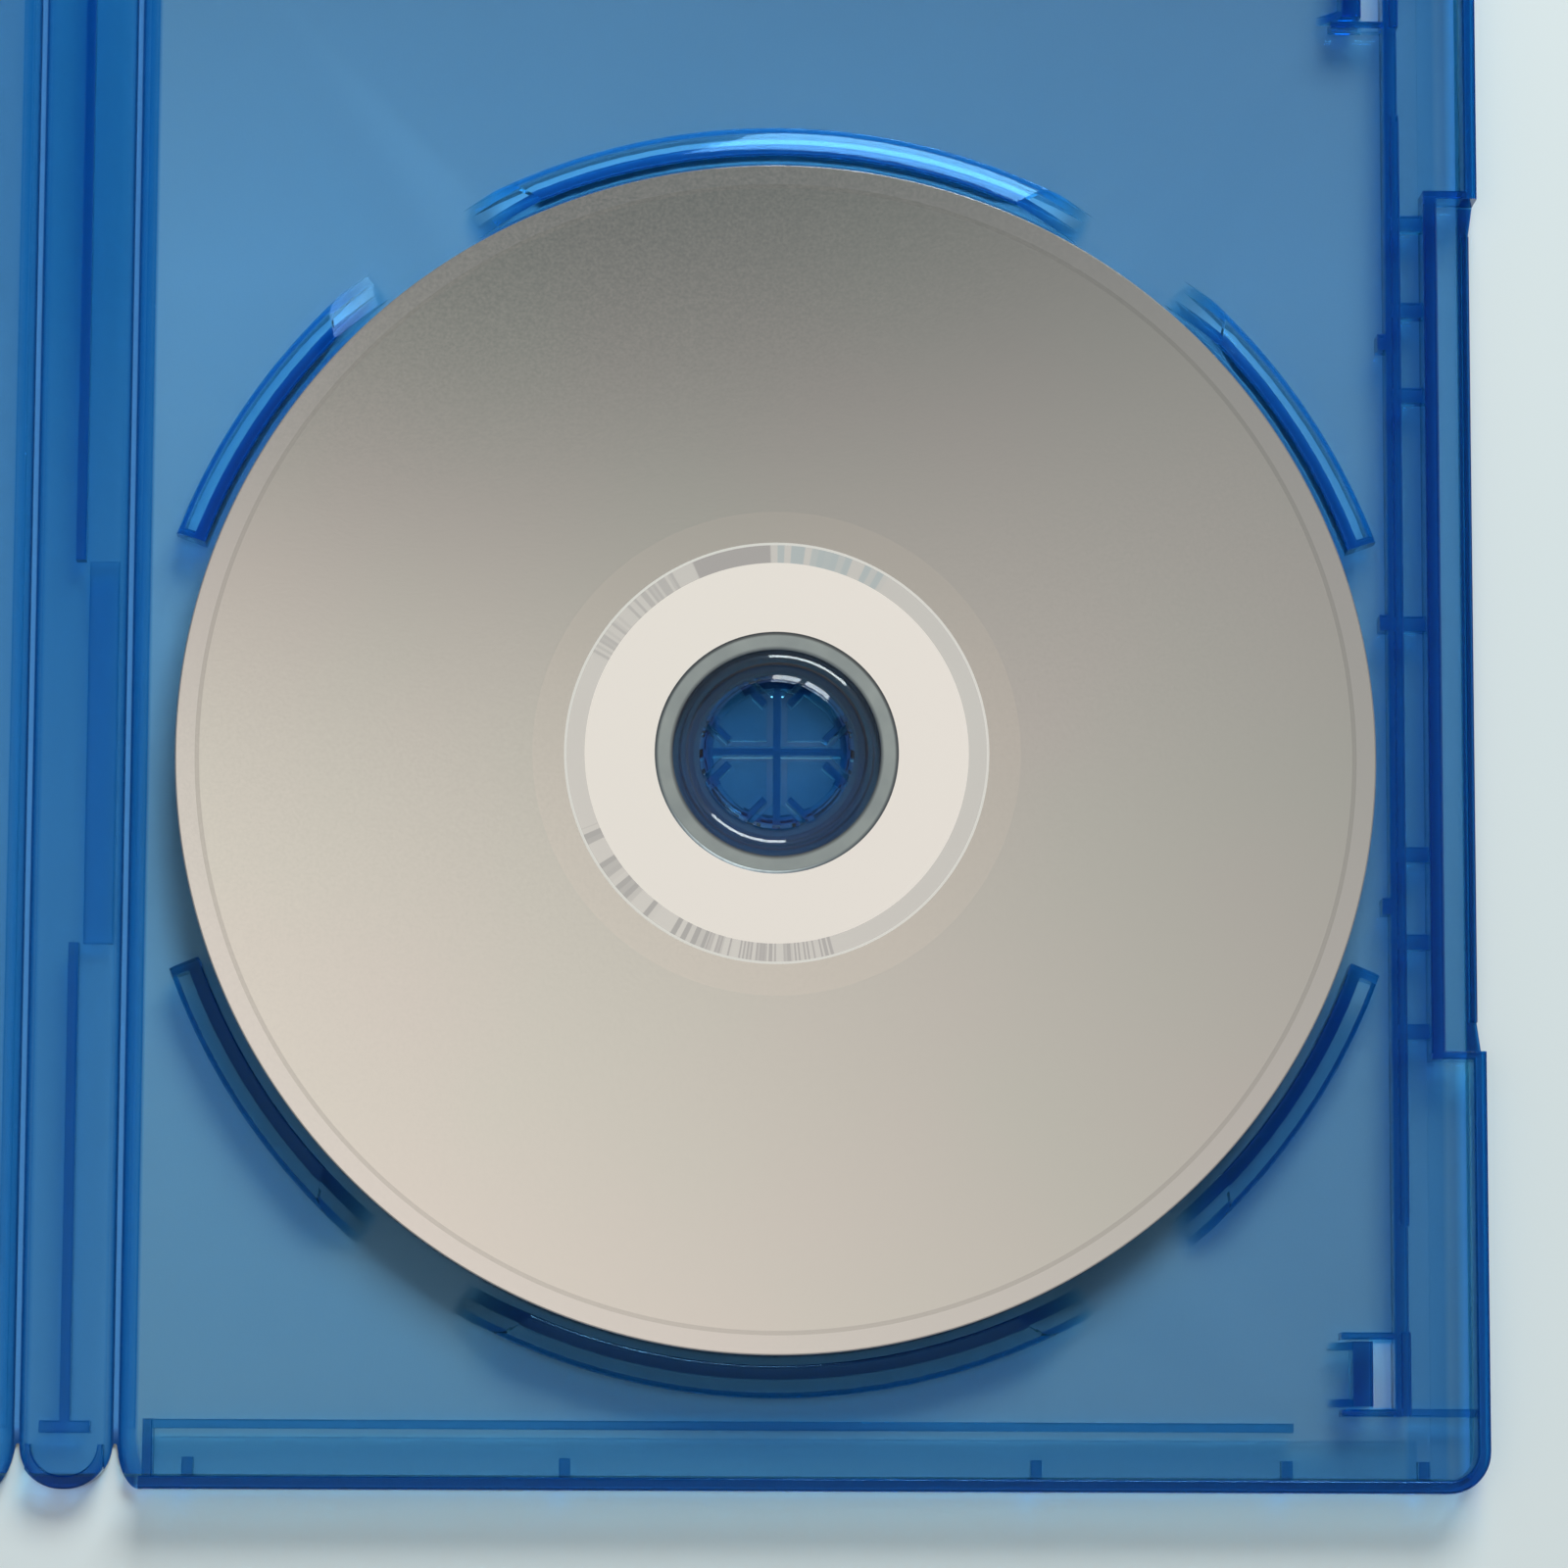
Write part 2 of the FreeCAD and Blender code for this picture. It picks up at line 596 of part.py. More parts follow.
def hinge_bead():
    """Low bead that stiffens the leaf beside its living hinge."""
    half = HALF_HEIGHT - HINGE_CORNER_Y
    return wall(GROOVE_U, GROOVE_U + BEAD_W, -half, half, BEAD_H)


def tray_shell():
    """Tray leaf with hub, disc ridges, rail, latch pockets and edge walls."""
    walls = [hinge_bead()] + rail_walls() + edge_walls(-1) + edge_walls(1)
    hollows = []
    for y in LATCH_Y:
        walls.extend(latch_walls(y))
        hollows.append(latch_slot(y))
    hub_solid, hub_hollow = hub()
    bore = Part.makeCylinder(HUB_R - HUB_WALL, PANEL_Z + 1, ORIGIN)
    hollows.append(bore.translated(Vector(DISC_U, DISC_Y, 0)))
    for solid, hollow in [ridge(*values) for values in RIDGES] + [(hub_solid, hub_hollow)]:
        walls.append(solid.translated(Vector(DISC_U, DISC_Y, 0)))
        hollows.append(hollow.translated(Vector(DISC_U, DISC_Y, 0)))
    return leaf_shell(walls).cut(hollows)


def cover_lip():
    """Lip inside the cover's rim that drops inside the tray's rim when the case is shut."""
    outer_u = RIM_IN_U - LIP_FIT
    outer_y = RIM_IN_Y - LIP_FIT
    height = CLOSED_Z - RIM_TOP_Z + LIP_ENTRY - PANEL_Z
    lips = []
    for sign in (-1, 1):
        side_y = sign * outer_y
        lips.append(wall(LIP_U0, outer_u - LIP_CORNER, side_y - sign * LIP_T, side_y, height))
        notch_end = NOTCH_Y + sign * (NOTCH_LENGTH / 2 + 2 * NOTCH_WALL_T)
        corner_y = sign * (outer_y - LIP_CORNER)
        lips.append(wall(outer_u - LIP_T, outer_u, notch_end, corner_y, height))
    return lips


def latch_hook(y):
    """Springy hook of the cover that enters a latch pocket, with its bead towards the latch wall."""
    half = HOOK_LENGTH / 2
    u0 = LATCH_SLOT_U + (LATCH_SLOT_W - HOOK_T) / 2
    u1 = u0 + HOOK_T
    top = PANEL_Z + HOOK_H
    post = wall(u0, u1, y - half, y + half, HOOK_H)
    bead = box(u0 - HOOK_BEAD, u0 + SINK, y - half, y + half, top - 3 * HOOK_BEAD, top - HOOK_BEAD)
    return [post, bead]


def booklet_tab(y):
    """Tab that overhangs the cover's panel and holds a booklet."""
    half = TAB_LENGTH / 2
    u1 = LEAF_WIDTH - TAB_INSET
    z0 = PANEL_Z + TAB_GAP
    post = box(u1 - TAB_POST_T, u1, y - half, y + half, PANEL_Z - SINK, z0 + TAB_T)
    roof = rounded_plate(0, TAB_REACH, half, TAB_ROUND, z0, z0 + TAB_T)
    roof.rotate(ORIGIN, UP, 180)
    roof.translate(Vector(u1, y, 0))
    return soften(join([post, roof]), z0 + TAB_T, EDGE_BREAK)


def cover_shell():
    """Cover leaf with its lip, latch hooks and booklet tabs, still lying like the tray."""
    walls = [hinge_bead()] + cover_lip()
    for y in LATCH_Y:
        walls.extend(latch_hook(y))
    for y in (-TAB_OFFSET, TAB_OFFSET):
        walls.append(booklet_tab(y))
    return leaf_shell(walls)


def spine_plan(inset, z0, z1):
    """Outline of the spine with its four corners rounded, drawn in by an inset."""
    half_x = SPINE_HALF - inset
    half_y = HALF_HEIGHT - inset
    radius = min(SPINE_END_R, SPINE_HALF - EDGE_BREAK) - inset
    right = rounded_plate(0, half_x, half_y, radius, z0, z1)
    left = right.mirror(ORIGIN, Vector(1, 0, 0))
    return right.fuse(left).removeSplitter()


def spine_ribs():
    """Centre rib, broken beside the hub, with a pad in the break and a bar at each end."""
    end = HALF_HEIGHT - SPINE_RIB_END
    break_y0 = DISC_Y - SPINE_BREAK_LENGTH / 2
    break_y1 = DISC_Y + SPINE_BREAK_LENGTH / 2
    half = SPINE_RIB_T / 2
    bar = SPINE_BAR_LENGTH / 2
    pad_x1 = SPINE_TOP_HALF - HINGE_CLEARANCE
    return [
        wall(-half, half, -end, break_y0, SPINE_WALL_H),
        wall(-half, half, break_y1, end, SPINE_WALL_H),
        wall(SPINE_PAD_X, pad_x1, break_y0, break_y1, SPINE_PAD_H),
        wall(-bar, bar, -end, SPINE_BAR_T - end, SPINE_WALL_H),
        wall(-bar, bar, end - SPINE_BAR_T, end, SPINE_WALL_H),
    ]


def spine():
    """Narrow leaf between the two living hinges, with rounded end walls."""
    section = [
        Vector(-SPINE_HALF, -HALF_HEIGHT, SHELL_Z),
        Vector(SPINE_HALF, -HALF_HEIGHT, SHELL_Z),
        Vector(SPINE_HALF, -HALF_HEIGHT, AXIS_Z),
        Vector(SPINE_TOP_HALF, -HALF_HEIGHT, PANEL_Z),
        Vector(-SPINE_TOP_HALF, -HALF_HEIGHT, PANEL_Z),
        Vector(-SPINE_HALF, -HALF_HEIGHT, AXIS_Z),
    ]
    floor = prism(section, Vector(0, CASE_HEIGHT, 0)).common(spine_plan(0, 0, RIM_TOP_Z))
    wall_x = SPINE_TOP_HALF - HINGE_CLEARANCE
    inner_y = HALF_HEIGHT - SPINE_END_R
    ring = spine_plan(0, PANEL_Z - SINK, SPINE_WALL_Z).cut(spine_plan(SPINE_WALL_T, 0, RIM_TOP_Z))
    ends = box(-wall_x, wall_x, -HALF_HEIGHT, HALF_HEIGHT, 0, RIM_TOP_Z)
    ends = ends.cut(box(-wall_x, wall_x, -inner_y, inner_y, 0, RIM_TOP_Z))
    end_walls = soften(ring.common(ends), SPINE_WALL_Z, EDGE_BREAK)
    border = spine_plan(0, FILM_T + FILM_SEAT_GAP, SHELL_Z)
    pocket_y = HALF_HEIGHT - BORDER_W
    border = border.cut(box(-HALF_PITCH, HALF_PITCH, -pocket_y, pocket_y, 0, SHELL_Z))
    return join([floor, end_walls, border] + spine_ribs())


def hinge_web():
    """Thin flexing strip of a living hinge, centred on its axis."""
    half = HALF_HEIGHT - HINGE_CORNER_Y
    return box(-WEB_HALF, WEB_HALF, -half, half, SHELL_Z, AXIS_Z)


def disc():
    """Disc with its centre hole and slightly broken edges, on the hub's seat."""
    plate = Part.makeCylinder(DISC_D / 2, DISC_T, Vector(0, 0, DISC_Z))
    plate = plate.cut(Part.makeCylinder(DISC_HOLE_D / 2, DISC_T, Vector(0, 0, DISC_Z)))
    circles = [e for e in plate.Edges if isinstance(e.Curve, Part.Circle)]
    plate = plate.makeChamfer(DISC_EDGE, circles)
    return plate.translated(Vector(DISC_U, DISC_Y, 0))


def leaf_film():
    """Part of the clear sleeve under a leaf."""
    half_y = HALF_HEIGHT - FILM_INSET
    radius = LEAF_CORNER_R - FILM_INSET
    film = rounded_plate(FILM_FOLD_GAP, LEAF_WIDTH - FILM_INSET, half_y, radius, 0, FILM_T)
    return film.cut([hinge_corner(sign, 0, FILM_T) for sign in (-1, 1)])


def leaf_paper():
    """Part of the title sheet under a leaf, between the web and the border of the moulding."""
    u1 = LEAF_WIDTH - BORDER_W - PAPER_FIT
    half_y = HALF_HEIGHT - BORDER_W - PAPER_FIT
    paper = box(WEB_HALF, u1, -half_y, half_y, PAPER_Z, PAPER_Z + PAPER_T)
    return paper.cut([hinge_corner(sign, 0, SHELL_Z, PAPER_FIT) for sign in (-1, 1)])


def spine_film():
    """Part of the clear sleeve under the spine."""
    half_x = HALF_PITCH - FILM_FOLD_GAP
    half_y = HALF_HEIGHT - FILM_INSET
    fold_y = HALF_HEIGHT - HINGE_CORNER_Y
    ends = spine_plan(0, 0, FILM_T).common(box(-half_x, half_x, -half_y, half_y, 0, FILM_T))
    return join([ends, box(-half_x, half_x, -fold_y, fold_y, 0, FILM_T)])


def spine_paper():
    """Part of the title sheet under the spine, which stops beside the two webs."""
    half_x = SPINE_HALF
    half_y = HALF_HEIGHT - BORDER_W - PAPER_FIT
    paper = box(-half_x, half_x, -half_y, half_y, PAPER_Z, PAPER_Z + PAPER_T)
    return paper.common(spine_plan(0, PAPER_Z, PAPER_Z + PAPER_T))


def on_tray_side(shape):
    """Moves a leaf-shaped piece to the tray's side of the spine."""
    return shape.translated(Vector(HALF_PITCH, 0, 0))


def on_cover_side(shape):
    """Mirrors a leaf-shaped piece to the cover's side of the spine."""
    return on_tray_side(shape).mirror(ORIGIN, Vector(1, 0, 0))


def main():
    os.makedirs("parts", exist_ok=True)
    pieces = {
        "tray_shell": on_tray_side(tray_shell()),
        "cover_shell": on_cover_side(cover_shell()),
        "spine": spine(),
        "tray_hinge": on_tray_side(hinge_web()),
        "cover_hinge": on_cover_side(hinge_web()),
        "disc": on_tray_side(disc()),
        "title_sheet_tray": on_tray_side(leaf_paper()),
        "title_sheet_spine": spine_paper(),
        "title_sheet_cover": on_cover_side(leaf_paper()),
        "sleeve_tray": on_tray_side(leaf_film()),
        "sleeve_spine": spine_film(),
        "sleeve_cover": on_cover_side(leaf_film()),
    }
    for name, shape in pieces.items():
        solid = shape.Solids[0] if len(shape.Solids) == 1 else shape
        solid.exportStep(os.path.join("parts", name + ".step"))
        print(name, "solids", len(shape.Solids), "volume", round(shape.Volume, 1), "valid", shape.isValid())


main()
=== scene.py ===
# %% [markdown]
# # An open disc case in translucent blue plastic
# The CAD frame already holds the case at its real size: a tray, a spine and a cover that are
# one moulding, with a disc on the tray's hub, a paper title sheet behind and a clear sleeve
# round the outside. Blender's job is the looks: smooth plastic that light goes through, a
# silvery disc, paper and film that bend at the folds, and a table under soft window light.
# First the frame is loaded, and its box is kept.

import json
import math

import bmesh
import bpy
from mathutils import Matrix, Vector


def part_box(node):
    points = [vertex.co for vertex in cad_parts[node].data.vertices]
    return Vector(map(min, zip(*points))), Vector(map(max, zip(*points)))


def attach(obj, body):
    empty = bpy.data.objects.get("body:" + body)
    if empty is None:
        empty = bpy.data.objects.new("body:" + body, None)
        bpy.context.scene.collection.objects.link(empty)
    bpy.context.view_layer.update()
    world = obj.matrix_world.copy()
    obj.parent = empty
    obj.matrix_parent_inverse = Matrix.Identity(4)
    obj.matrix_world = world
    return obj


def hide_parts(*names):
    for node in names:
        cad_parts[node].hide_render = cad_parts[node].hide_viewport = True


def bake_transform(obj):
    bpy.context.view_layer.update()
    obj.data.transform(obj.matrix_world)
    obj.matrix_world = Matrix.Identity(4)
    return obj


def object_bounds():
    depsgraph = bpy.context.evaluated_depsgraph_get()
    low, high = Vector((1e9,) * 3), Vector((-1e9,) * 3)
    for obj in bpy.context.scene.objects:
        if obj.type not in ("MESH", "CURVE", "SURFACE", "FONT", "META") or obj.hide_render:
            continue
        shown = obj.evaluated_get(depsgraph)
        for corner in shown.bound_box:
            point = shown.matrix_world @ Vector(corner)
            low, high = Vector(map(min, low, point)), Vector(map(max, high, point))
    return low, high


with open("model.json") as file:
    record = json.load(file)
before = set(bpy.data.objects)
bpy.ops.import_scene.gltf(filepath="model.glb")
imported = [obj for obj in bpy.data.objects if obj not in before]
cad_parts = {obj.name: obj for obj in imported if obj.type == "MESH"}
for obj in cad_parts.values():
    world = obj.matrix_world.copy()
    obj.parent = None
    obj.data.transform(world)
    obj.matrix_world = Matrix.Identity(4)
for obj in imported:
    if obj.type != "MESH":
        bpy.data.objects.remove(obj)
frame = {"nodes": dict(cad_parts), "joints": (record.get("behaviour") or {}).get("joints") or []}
cad_low, cad_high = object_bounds()
MM = 0.001
HALF_HEIGHT = cad_high.y
fold_x = {joint["name"]: joint["pos_m"][0] for joint in frame["joints"]}
TRAY_FOLD, COVER_FOLD = fold_x["spine_hinge"], fold_x["cover_hinge"]
print("case", [round((h - l) / MM, 2) for l, h in zip(cad_low, cad_high)], "mm")
print("folds at x", round(TRAY_FOLD / MM, 3), "and", round(COVER_FOLD / MM, 3), "mm")

# %% [markdown]
# ## Small helpers for working by operator
# Blender's operators act on whatever is selected. These helpers do by code what a hand does
# with the mouse: clear the selection, make one object active, go in and out of edit mode, and
# pick faces, edges or points by where they are.

# %% Selection helpers
SAME_PLACE = 0.0005 * MM


def take(piece):
    """Makes one object the only selected and active one, in object mode."""
    if bpy.context.object and bpy.context.object.mode != "OBJECT":
        bpy.ops.object.mode_set(mode="OBJECT")
    bpy.ops.object.select_all(action="DESELECT")
    piece.select_set(True)
    bpy.context.view_layer.objects.active = piece


def edit(piece, kind="FACE"):
    """Opens a piece in edit mode with nothing selected."""
    take(piece)
    bpy.ops.object.mode_set(mode="EDIT")
    bpy.ops.mesh.select_mode(type=kind)
    bpy.ops.mesh.select_all(action="DESELECT")


def pick(piece, kind, wanted):
    """Selects, in edit mode, those of a piece's verts, edges or faces that are wanted."""
    mesh = bmesh.from_edit_mesh(piece.data)
    for element in getattr(mesh, kind):
        element.select_set(wanted(element))
    mesh.select_flush_mode()
    bmesh.update_edit_mesh(piece.data)


def done(piece):
    """Leaves edit mode and puts the piece's place and size into its mesh."""
    take(piece)
    bpy.ops.object.transform_apply(location=True, rotation=True, scale=True)


def new_piece(name):
    """Names the primitive that was just added."""
    piece = bpy.context.object
    piece.name = piece.data.name = name
    return piece


print("selection helpers ready")

# %% [markdown]
# ## Camera
# The photograph looks almost straight down, from a little below the disc and a little to its
# left, close enough that the top of the case and most of the cover run out of the frame. A
# camera could be placed by eye. This one was fitted to the disc's outline, the two hinge lines
# and the edges of the case, so that they fall where they are in the photograph.

# %% Camera
PHOTO_LENS, SENSOR_WIDTH = 139.5, 36.0
CAMERA_PLACE = (0.0573934, -0.0961767, 0.6055896)
CAMERA_TURN = (0.1332, -0.0225, 0.0037)
camera_data = bpy.data.cameras.new("photo_camera")
camera_data.lens, camera_data.sensor_width = PHOTO_LENS, SENSOR_WIDTH
camera = bpy.data.objects.new("photo_camera", camera_data)
camera.location, camera.rotation_euler = CAMERA_PLACE, CAMERA_TURN
bpy.context.scene.collection.objects.link(camera)
bpy.context.scene.camera = camera
print("camera", round(CAMERA_PLACE[2] / MM), "mm above the table")

# %% [markdown]
# ## Nodes by name
# Every finish below is a small node tree, and so is the light of the room. Drawing them in the
# node editor takes many clicks, so this helper makes a tree from nothing and hands out nodes,
# and a finish reads as a list of nodes and the wires between them. A mask is a value that is 1
# where something holds and 0 elsewhere.

# %% Node helper
# The Mix node has a set of sockets for each kind of data. These are the ones for colours.
MIX_FIRST, MIX_SECOND, MIX_RESULT = 6, 7, 2


class Nodes:
    """An empty node tree of a material or a world, with a few short ways to add to it."""

    def __init__(self, owner):
        owner.use_nodes = True
        self.tree = owner.node_tree
        self.tree.nodes.clear()

    def add(self, kind, **values):
        """A new node with some of its settings."""
        node = self.tree.nodes.new("ShaderNode" + kind)
        for name, value in values.items():
            setattr(node, name, value)
        return node

    def wire(self, source, target):
        """A wire from an output socket to an input socket."""
        self.tree.links.new(source, target)

    def feed(self, value, target):
        """Puts a colour, a number or another node's output on an input socket."""
        if isinstance(value, tuple):
            target.default_value = (*value, 1)
        elif isinstance(value, (int, float)):
            target.default_value = value
        else:
            self.wire(value, target)

    def mix(self, factor, first, second, how="MIX"):
        """Mixes two colours by a value."""
        node = self.add("Mix", data_type="RGBA", blend_type=how)
        self.wire(factor, node.inputs["Factor"])
        self.feed(first, node.inputs[MIX_FIRST])
        self.feed(second, node.inputs[MIX_SECOND])
        return node.outputs[MIX_RESULT]

    def maths(self, operation, first, second=0.0):
        """One Math node, with a number or another node's value on each side."""
        node = self.add("Math", operation=operation)
        self.feed(first, node.inputs[0])
        self.feed(second, node.inputs[1])
        return node.outputs[0]

    def both(self, first, second):
        """Two values multiplied, so that a mask holds only where another does."""
        return self.maths("MULTIPLY", first, second)

    def spread(self, source, low, high, start=0.3, stop=0.7, curve="LINEAR"):
        """Goes from low to high as a value goes from start to stop."""
        node = self.add("MapRange", interpolation_type=curve)
        limits = {"From Min": start, "From Max": stop, "To Min": low, "To Max": high}
        for name, limit in limits.items():
            node.inputs[name].default_value = limit
        self.wire(source, node.inputs["Value"])
        return node.outputs["Result"]

    def rises(self, value, start, stop):
        """A mask that comes up from 0 to 1 as a value goes from start to stop."""
        return self.spread(value, 0.0, 1.0, start, stop)

    def falls(self, value, start, stop):
        """A mask that goes down from 1 to 0 as a value goes from start to stop."""
        return self.spread(value, 1.0, 0.0, start, stop)

    def within(self, value, low, high, soft):
        """A mask for a value between two limits, with soft edges."""
        rising = self.rises(value, low - soft, low + soft)
        return self.both(rising, self.falls(value, high - soft, high + soft))


print("node helper ready")

# %% [markdown]
# A finish is such a tree with a shader at its end. It knows its place on a piece by Object
# coordinates. On a sheet that bends, the place is an attribute that was kept while the sheet
# was flat, so that its pattern bends with it. Noise gives each finish the small unevenness in
# colour, gloss and relief that real surfaces have.

# %% Finish helper


class Finish(Nodes):
    """A new material that knows the place of each point on its piece."""

    def __init__(self, name, attribute=None):
        self.material = bpy.data.materials.new(name)
        super().__init__(self.material)
        self.output = self.add("OutputMaterial")
        if attribute:
            self.place = self.add("Attribute", attribute_name=attribute).outputs["Vector"]
        else:
            self.place = self.add("TexCoord").outputs["Object"]

    def axes(self, middle=(0, 0, 0)):
        """The X, Y and Z of a point on the piece, counted from a middle."""
        shift = self.add("VectorMath", operation="SUBTRACT")
        parts = self.add("SeparateXYZ")
        shift.inputs[1].default_value = middle
        self.wire(self.place, shift.inputs[0])
        self.wire(shift.outputs[0], parts.inputs[0])
        return parts.outputs["X"], parts.outputs["Y"], parts.outputs["Z"]

    def distance(self, middle):
        """How far a point is from an upright axis through a middle."""
        x, y, _ = self.axes(middle)
        return self.maths("SQRT", self.maths("ADD", self.both(x, x), self.both(y, y)))

    def turn(self, middle):
        """The angle of a point about such an axis, from the top and clockwise."""
        x, y, _ = self.axes(middle)
        return self.maths("ARCTAN2", x, y)

    def noise(self, scale, detail=3.0):
        """Soft random values over the piece, with scale in spots per metre."""
        spots = self.add("TexNoise")
        spots.inputs["Scale"].default_value = scale
        spots.inputs["Detail"].default_value = detail
        self.wire(self.place, spots.inputs["Vector"])
        return spots.outputs["Fac"]

    def drift(self, scale, detail=3.0, start=0.3, stop=0.7):
        """Noise stretched to the whole range from 0 to 1, to mix two tones by."""
        return self.rises(self.noise(scale, detail), start, stop)

    def ramp(self, value, *stops):
        """A colour that goes through stops, each a value and its colour."""
        last = stops[-1][0]
        node = self.add("ValToRGB")
        while len(node.color_ramp.elements) < len(stops):
            node.color_ramp.elements.new(1.0)
        for element, (stop, colour) in zip(node.color_ramp.elements, stops):
            element.position, element.color = stop / last, (*colour, 1)
        self.wire(self.rises(value, 0.0, last), node.inputs["Fac"])
        return node.outputs["Color"]

    def shader(self, **values):
        """The Principled shader, with each constant set on its own socket."""
        shader = self.add("BsdfPrincipled")
        for name, value in values.items():
            shader.inputs[name.replace("_", " ")].default_value = value
        self.wire(shader.outputs["BSDF"], self.output.inputs["Surface"])
        return shader

    def roughen(self, shader, source, low, high, start=0.3, stop=0.7):
        """Lets a shader's roughness wander between two values."""
        self.wire(self.spread(source, low, high, start, stop), shader.inputs["Roughness"])

    def relief(self, shader, source, depth):
        """Gives a shader a fine relief."""
        bump = self.add("Bump")
        bump.inputs["Distance"].default_value = depth
        self.wire(source, bump.inputs["Height"])
        self.wire(bump.outputs["Normal"], shader.inputs["Normal"])

    def let_lamps_through(self, shader, share):
        """Lets a share of the lamp's light through each face, to light what lies behind."""
        open_way, both_ways = self.add("BsdfTransparent"), self.add("MixShader")
        to_lamp = self.add("LightPath").outputs["Is Shadow Ray"]
        if isinstance(share, float):
            open_way.inputs["Color"].default_value = (share, share, share, 1)
        else:
            to_lamp = self.both(to_lamp, share)
        self.wire(to_lamp, both_ways.inputs["Fac"])
        self.wire(shader.outputs["BSDF"], both_ways.inputs[1])
        self.wire(open_way.outputs["BSDF"], both_ways.inputs[2])
        self.wire(both_ways.outputs["Shader"], self.output.inputs["Surface"])


def dress(piece, *finishes):
    """Gives a piece its finishes, one per material slot."""
    piece.data.materials.clear()
    for finish in finishes:
        piece.data.materials.append(finish.material)


print("finish helper ready")

# %% [markdown]
# ## Table
# The case lies on a plain pale table. Its colour and the shadow on it are all that shows, so a
# single wide plane is enough, with a pale grey that drifts very slightly. It lies a hair lower
# than the case, so that the two never share a face.

# %% Table
TABLE_SIZE, TABLE_DROP = 6.0, 0.06 * MM
TABLE_TONES = (0.765, 0.82, 0.825), (0.795, 0.845, 0.85)
bpy.ops.object.select_all(action="DESELECT")
bpy.ops.mesh.primitive_plane_add(size=TABLE_SIZE, location=(0, 0, -TABLE_DROP))
table = new_piece("table")
done(table)
table_finish = Finish("pale_table")
table_shader = table_finish.shader(Roughness=0.8, Specular_IOR_Level=0.1)
table_colour = table_finish.mix(table_finish.drift(7.0), *TABLE_TONES)
table_finish.wire(table_colour, table_shader.inputs["Base Color"])
dress(table, table_finish)
print("table", TABLE_SIZE, "m")

# %% [markdown]
# ## Light
# A window beyond the top of the case gives the larger part of the light. It stands low, so the
# case throws a soft shadow towards the viewer. A small lamp would throw a hard one, so a wide
# area lamp stands for the window, in cool daylight.

# %% Window lamp
WINDOW_POWER, WINDOW_SIZE, WINDOW_COLOUR = 15.8, (0.76, 0.55), (0.88, 0.98, 1.0)
WINDOW_PLACE, WINDOW_AIM = Vector((0.40, 1.00, 0.78)), Vector((0.06, 0, 0))
window_data = bpy.data.lights.new("window", "AREA")
window_data.shape = "RECTANGLE"
window_data.size, window_data.size_y = WINDOW_SIZE
window_data.energy, window_data.color = WINDOW_POWER, WINDOW_COLOUR
window = bpy.data.objects.new("window", window_data)
window.location = WINDOW_PLACE
window.rotation_euler = (WINDOW_AIM - WINDOW_PLACE).to_track_quat("-Z", "Y").to_euler()
bpy.context.scene.collection.objects.link(window)
print("window", WINDOW_POWER, "W")

# %% [markdown]
# The rest of the light is the room: a warm pale ceiling overhead and dim walls. The disc
# mirrors the ceiling above it, which is brighter to the left and has a dim patch over the top
# of the disc. A modelled room would do it too. The world does it with fewer parts, as colours
# that depend only on the direction in which a ray leaves.

# %% Room
CEILING_BRIGHT, CEILING_DIM = (1.02, 0.96, 0.885), (0.17, 0.205, 0.22)
CEILING_PATCH, WALLS = (0.07, 0.105, 0.115), (0.27, 0.275, 0.28)
DIM_SIDE, PATCH_PLACE, OVERHEAD = (0.84, 0.54, 0.0), (-0.04, 0.363, 0.931), (0, 0, 1)
PATCH_MOST, PATCH_FAR, PATCH_NEAR = 0.95, 0.25, 0.125
world = bpy.data.worlds.new("room")
bpy.context.scene.world = world
room = Nodes(world)
ray_direction = room.add("TexCoord").outputs["Generated"]


def against(direction, operation="DOT_PRODUCT"):
    """How far a ray goes along a direction or, by DISTANCE, how far it is off it."""
    node = room.add("VectorMath", operation=operation)
    node.inputs[1].default_value = direction
    room.wire(ray_direction, node.inputs[0])
    return node.outputs["Value"]


ceiling = room.mix(room.rises(against(DIM_SIDE), -0.05, 0.29), CEILING_BRIGHT, CEILING_DIM)
from_patch = against(PATCH_PLACE, "DISTANCE")
in_patch = room.spread(from_patch, 0.0, PATCH_MOST, PATCH_FAR, PATCH_NEAR, "SMOOTHSTEP")
ceiling = room.mix(in_patch, ceiling, CEILING_PATCH)
room_colour = room.mix(room.rises(against(OVERHEAD), 0.95, 0.72), ceiling, WALLS)
room_light, room_output = room.add("Background"), room.add("OutputWorld")
room.wire(room_colour, room_light.inputs["Color"])
room.wire(room_light.outputs["Background"], room_output.inputs["Surface"])
bpy.context.scene.view_settings.view_transform = "Standard"
print("room", len(room.tree.nodes), "nodes")

# %% [markdown]
# ## Blue plastic
# The case is polypropylene with a blue dye. A thin panel of it is pale and a wall seen from
# its edge is deep blue, because light loses more red the further it goes inside. A blue
# surface would give both the same blue, so the surface is clear and the colour is in the
# volume: Volume Absorption takes red off fastest, then green. A faint unevenness in roughness
# and relief is the moulding's.

# %% Blue plastic
DYE_COLOUR, DYE_DENSITY = (0.0, 0.675, 0.89, 1), 950.0
blue = Finish("blue_polypropylene")
blue_shader = blue.shader(IOR=1.49, Transmission_Weight=1.0)
blue.roughen(blue_shader, blue.noise(900.0), 0.04, 0.08)
blue.relief(blue_shader, blue.noise(420.0, 2.0), 0.010 * MM)
blue_dye = blue.add("VolumeAbsorption")
blue_dye.inputs["Color"].default_value = DYE_COLOUR
blue_dye.inputs["Density"].default_value = DYE_DENSITY
blue.wire(blue_dye.outputs["Volume"], blue.output.inputs["Volume"])
print("dye", DYE_DENSITY, "per metre")
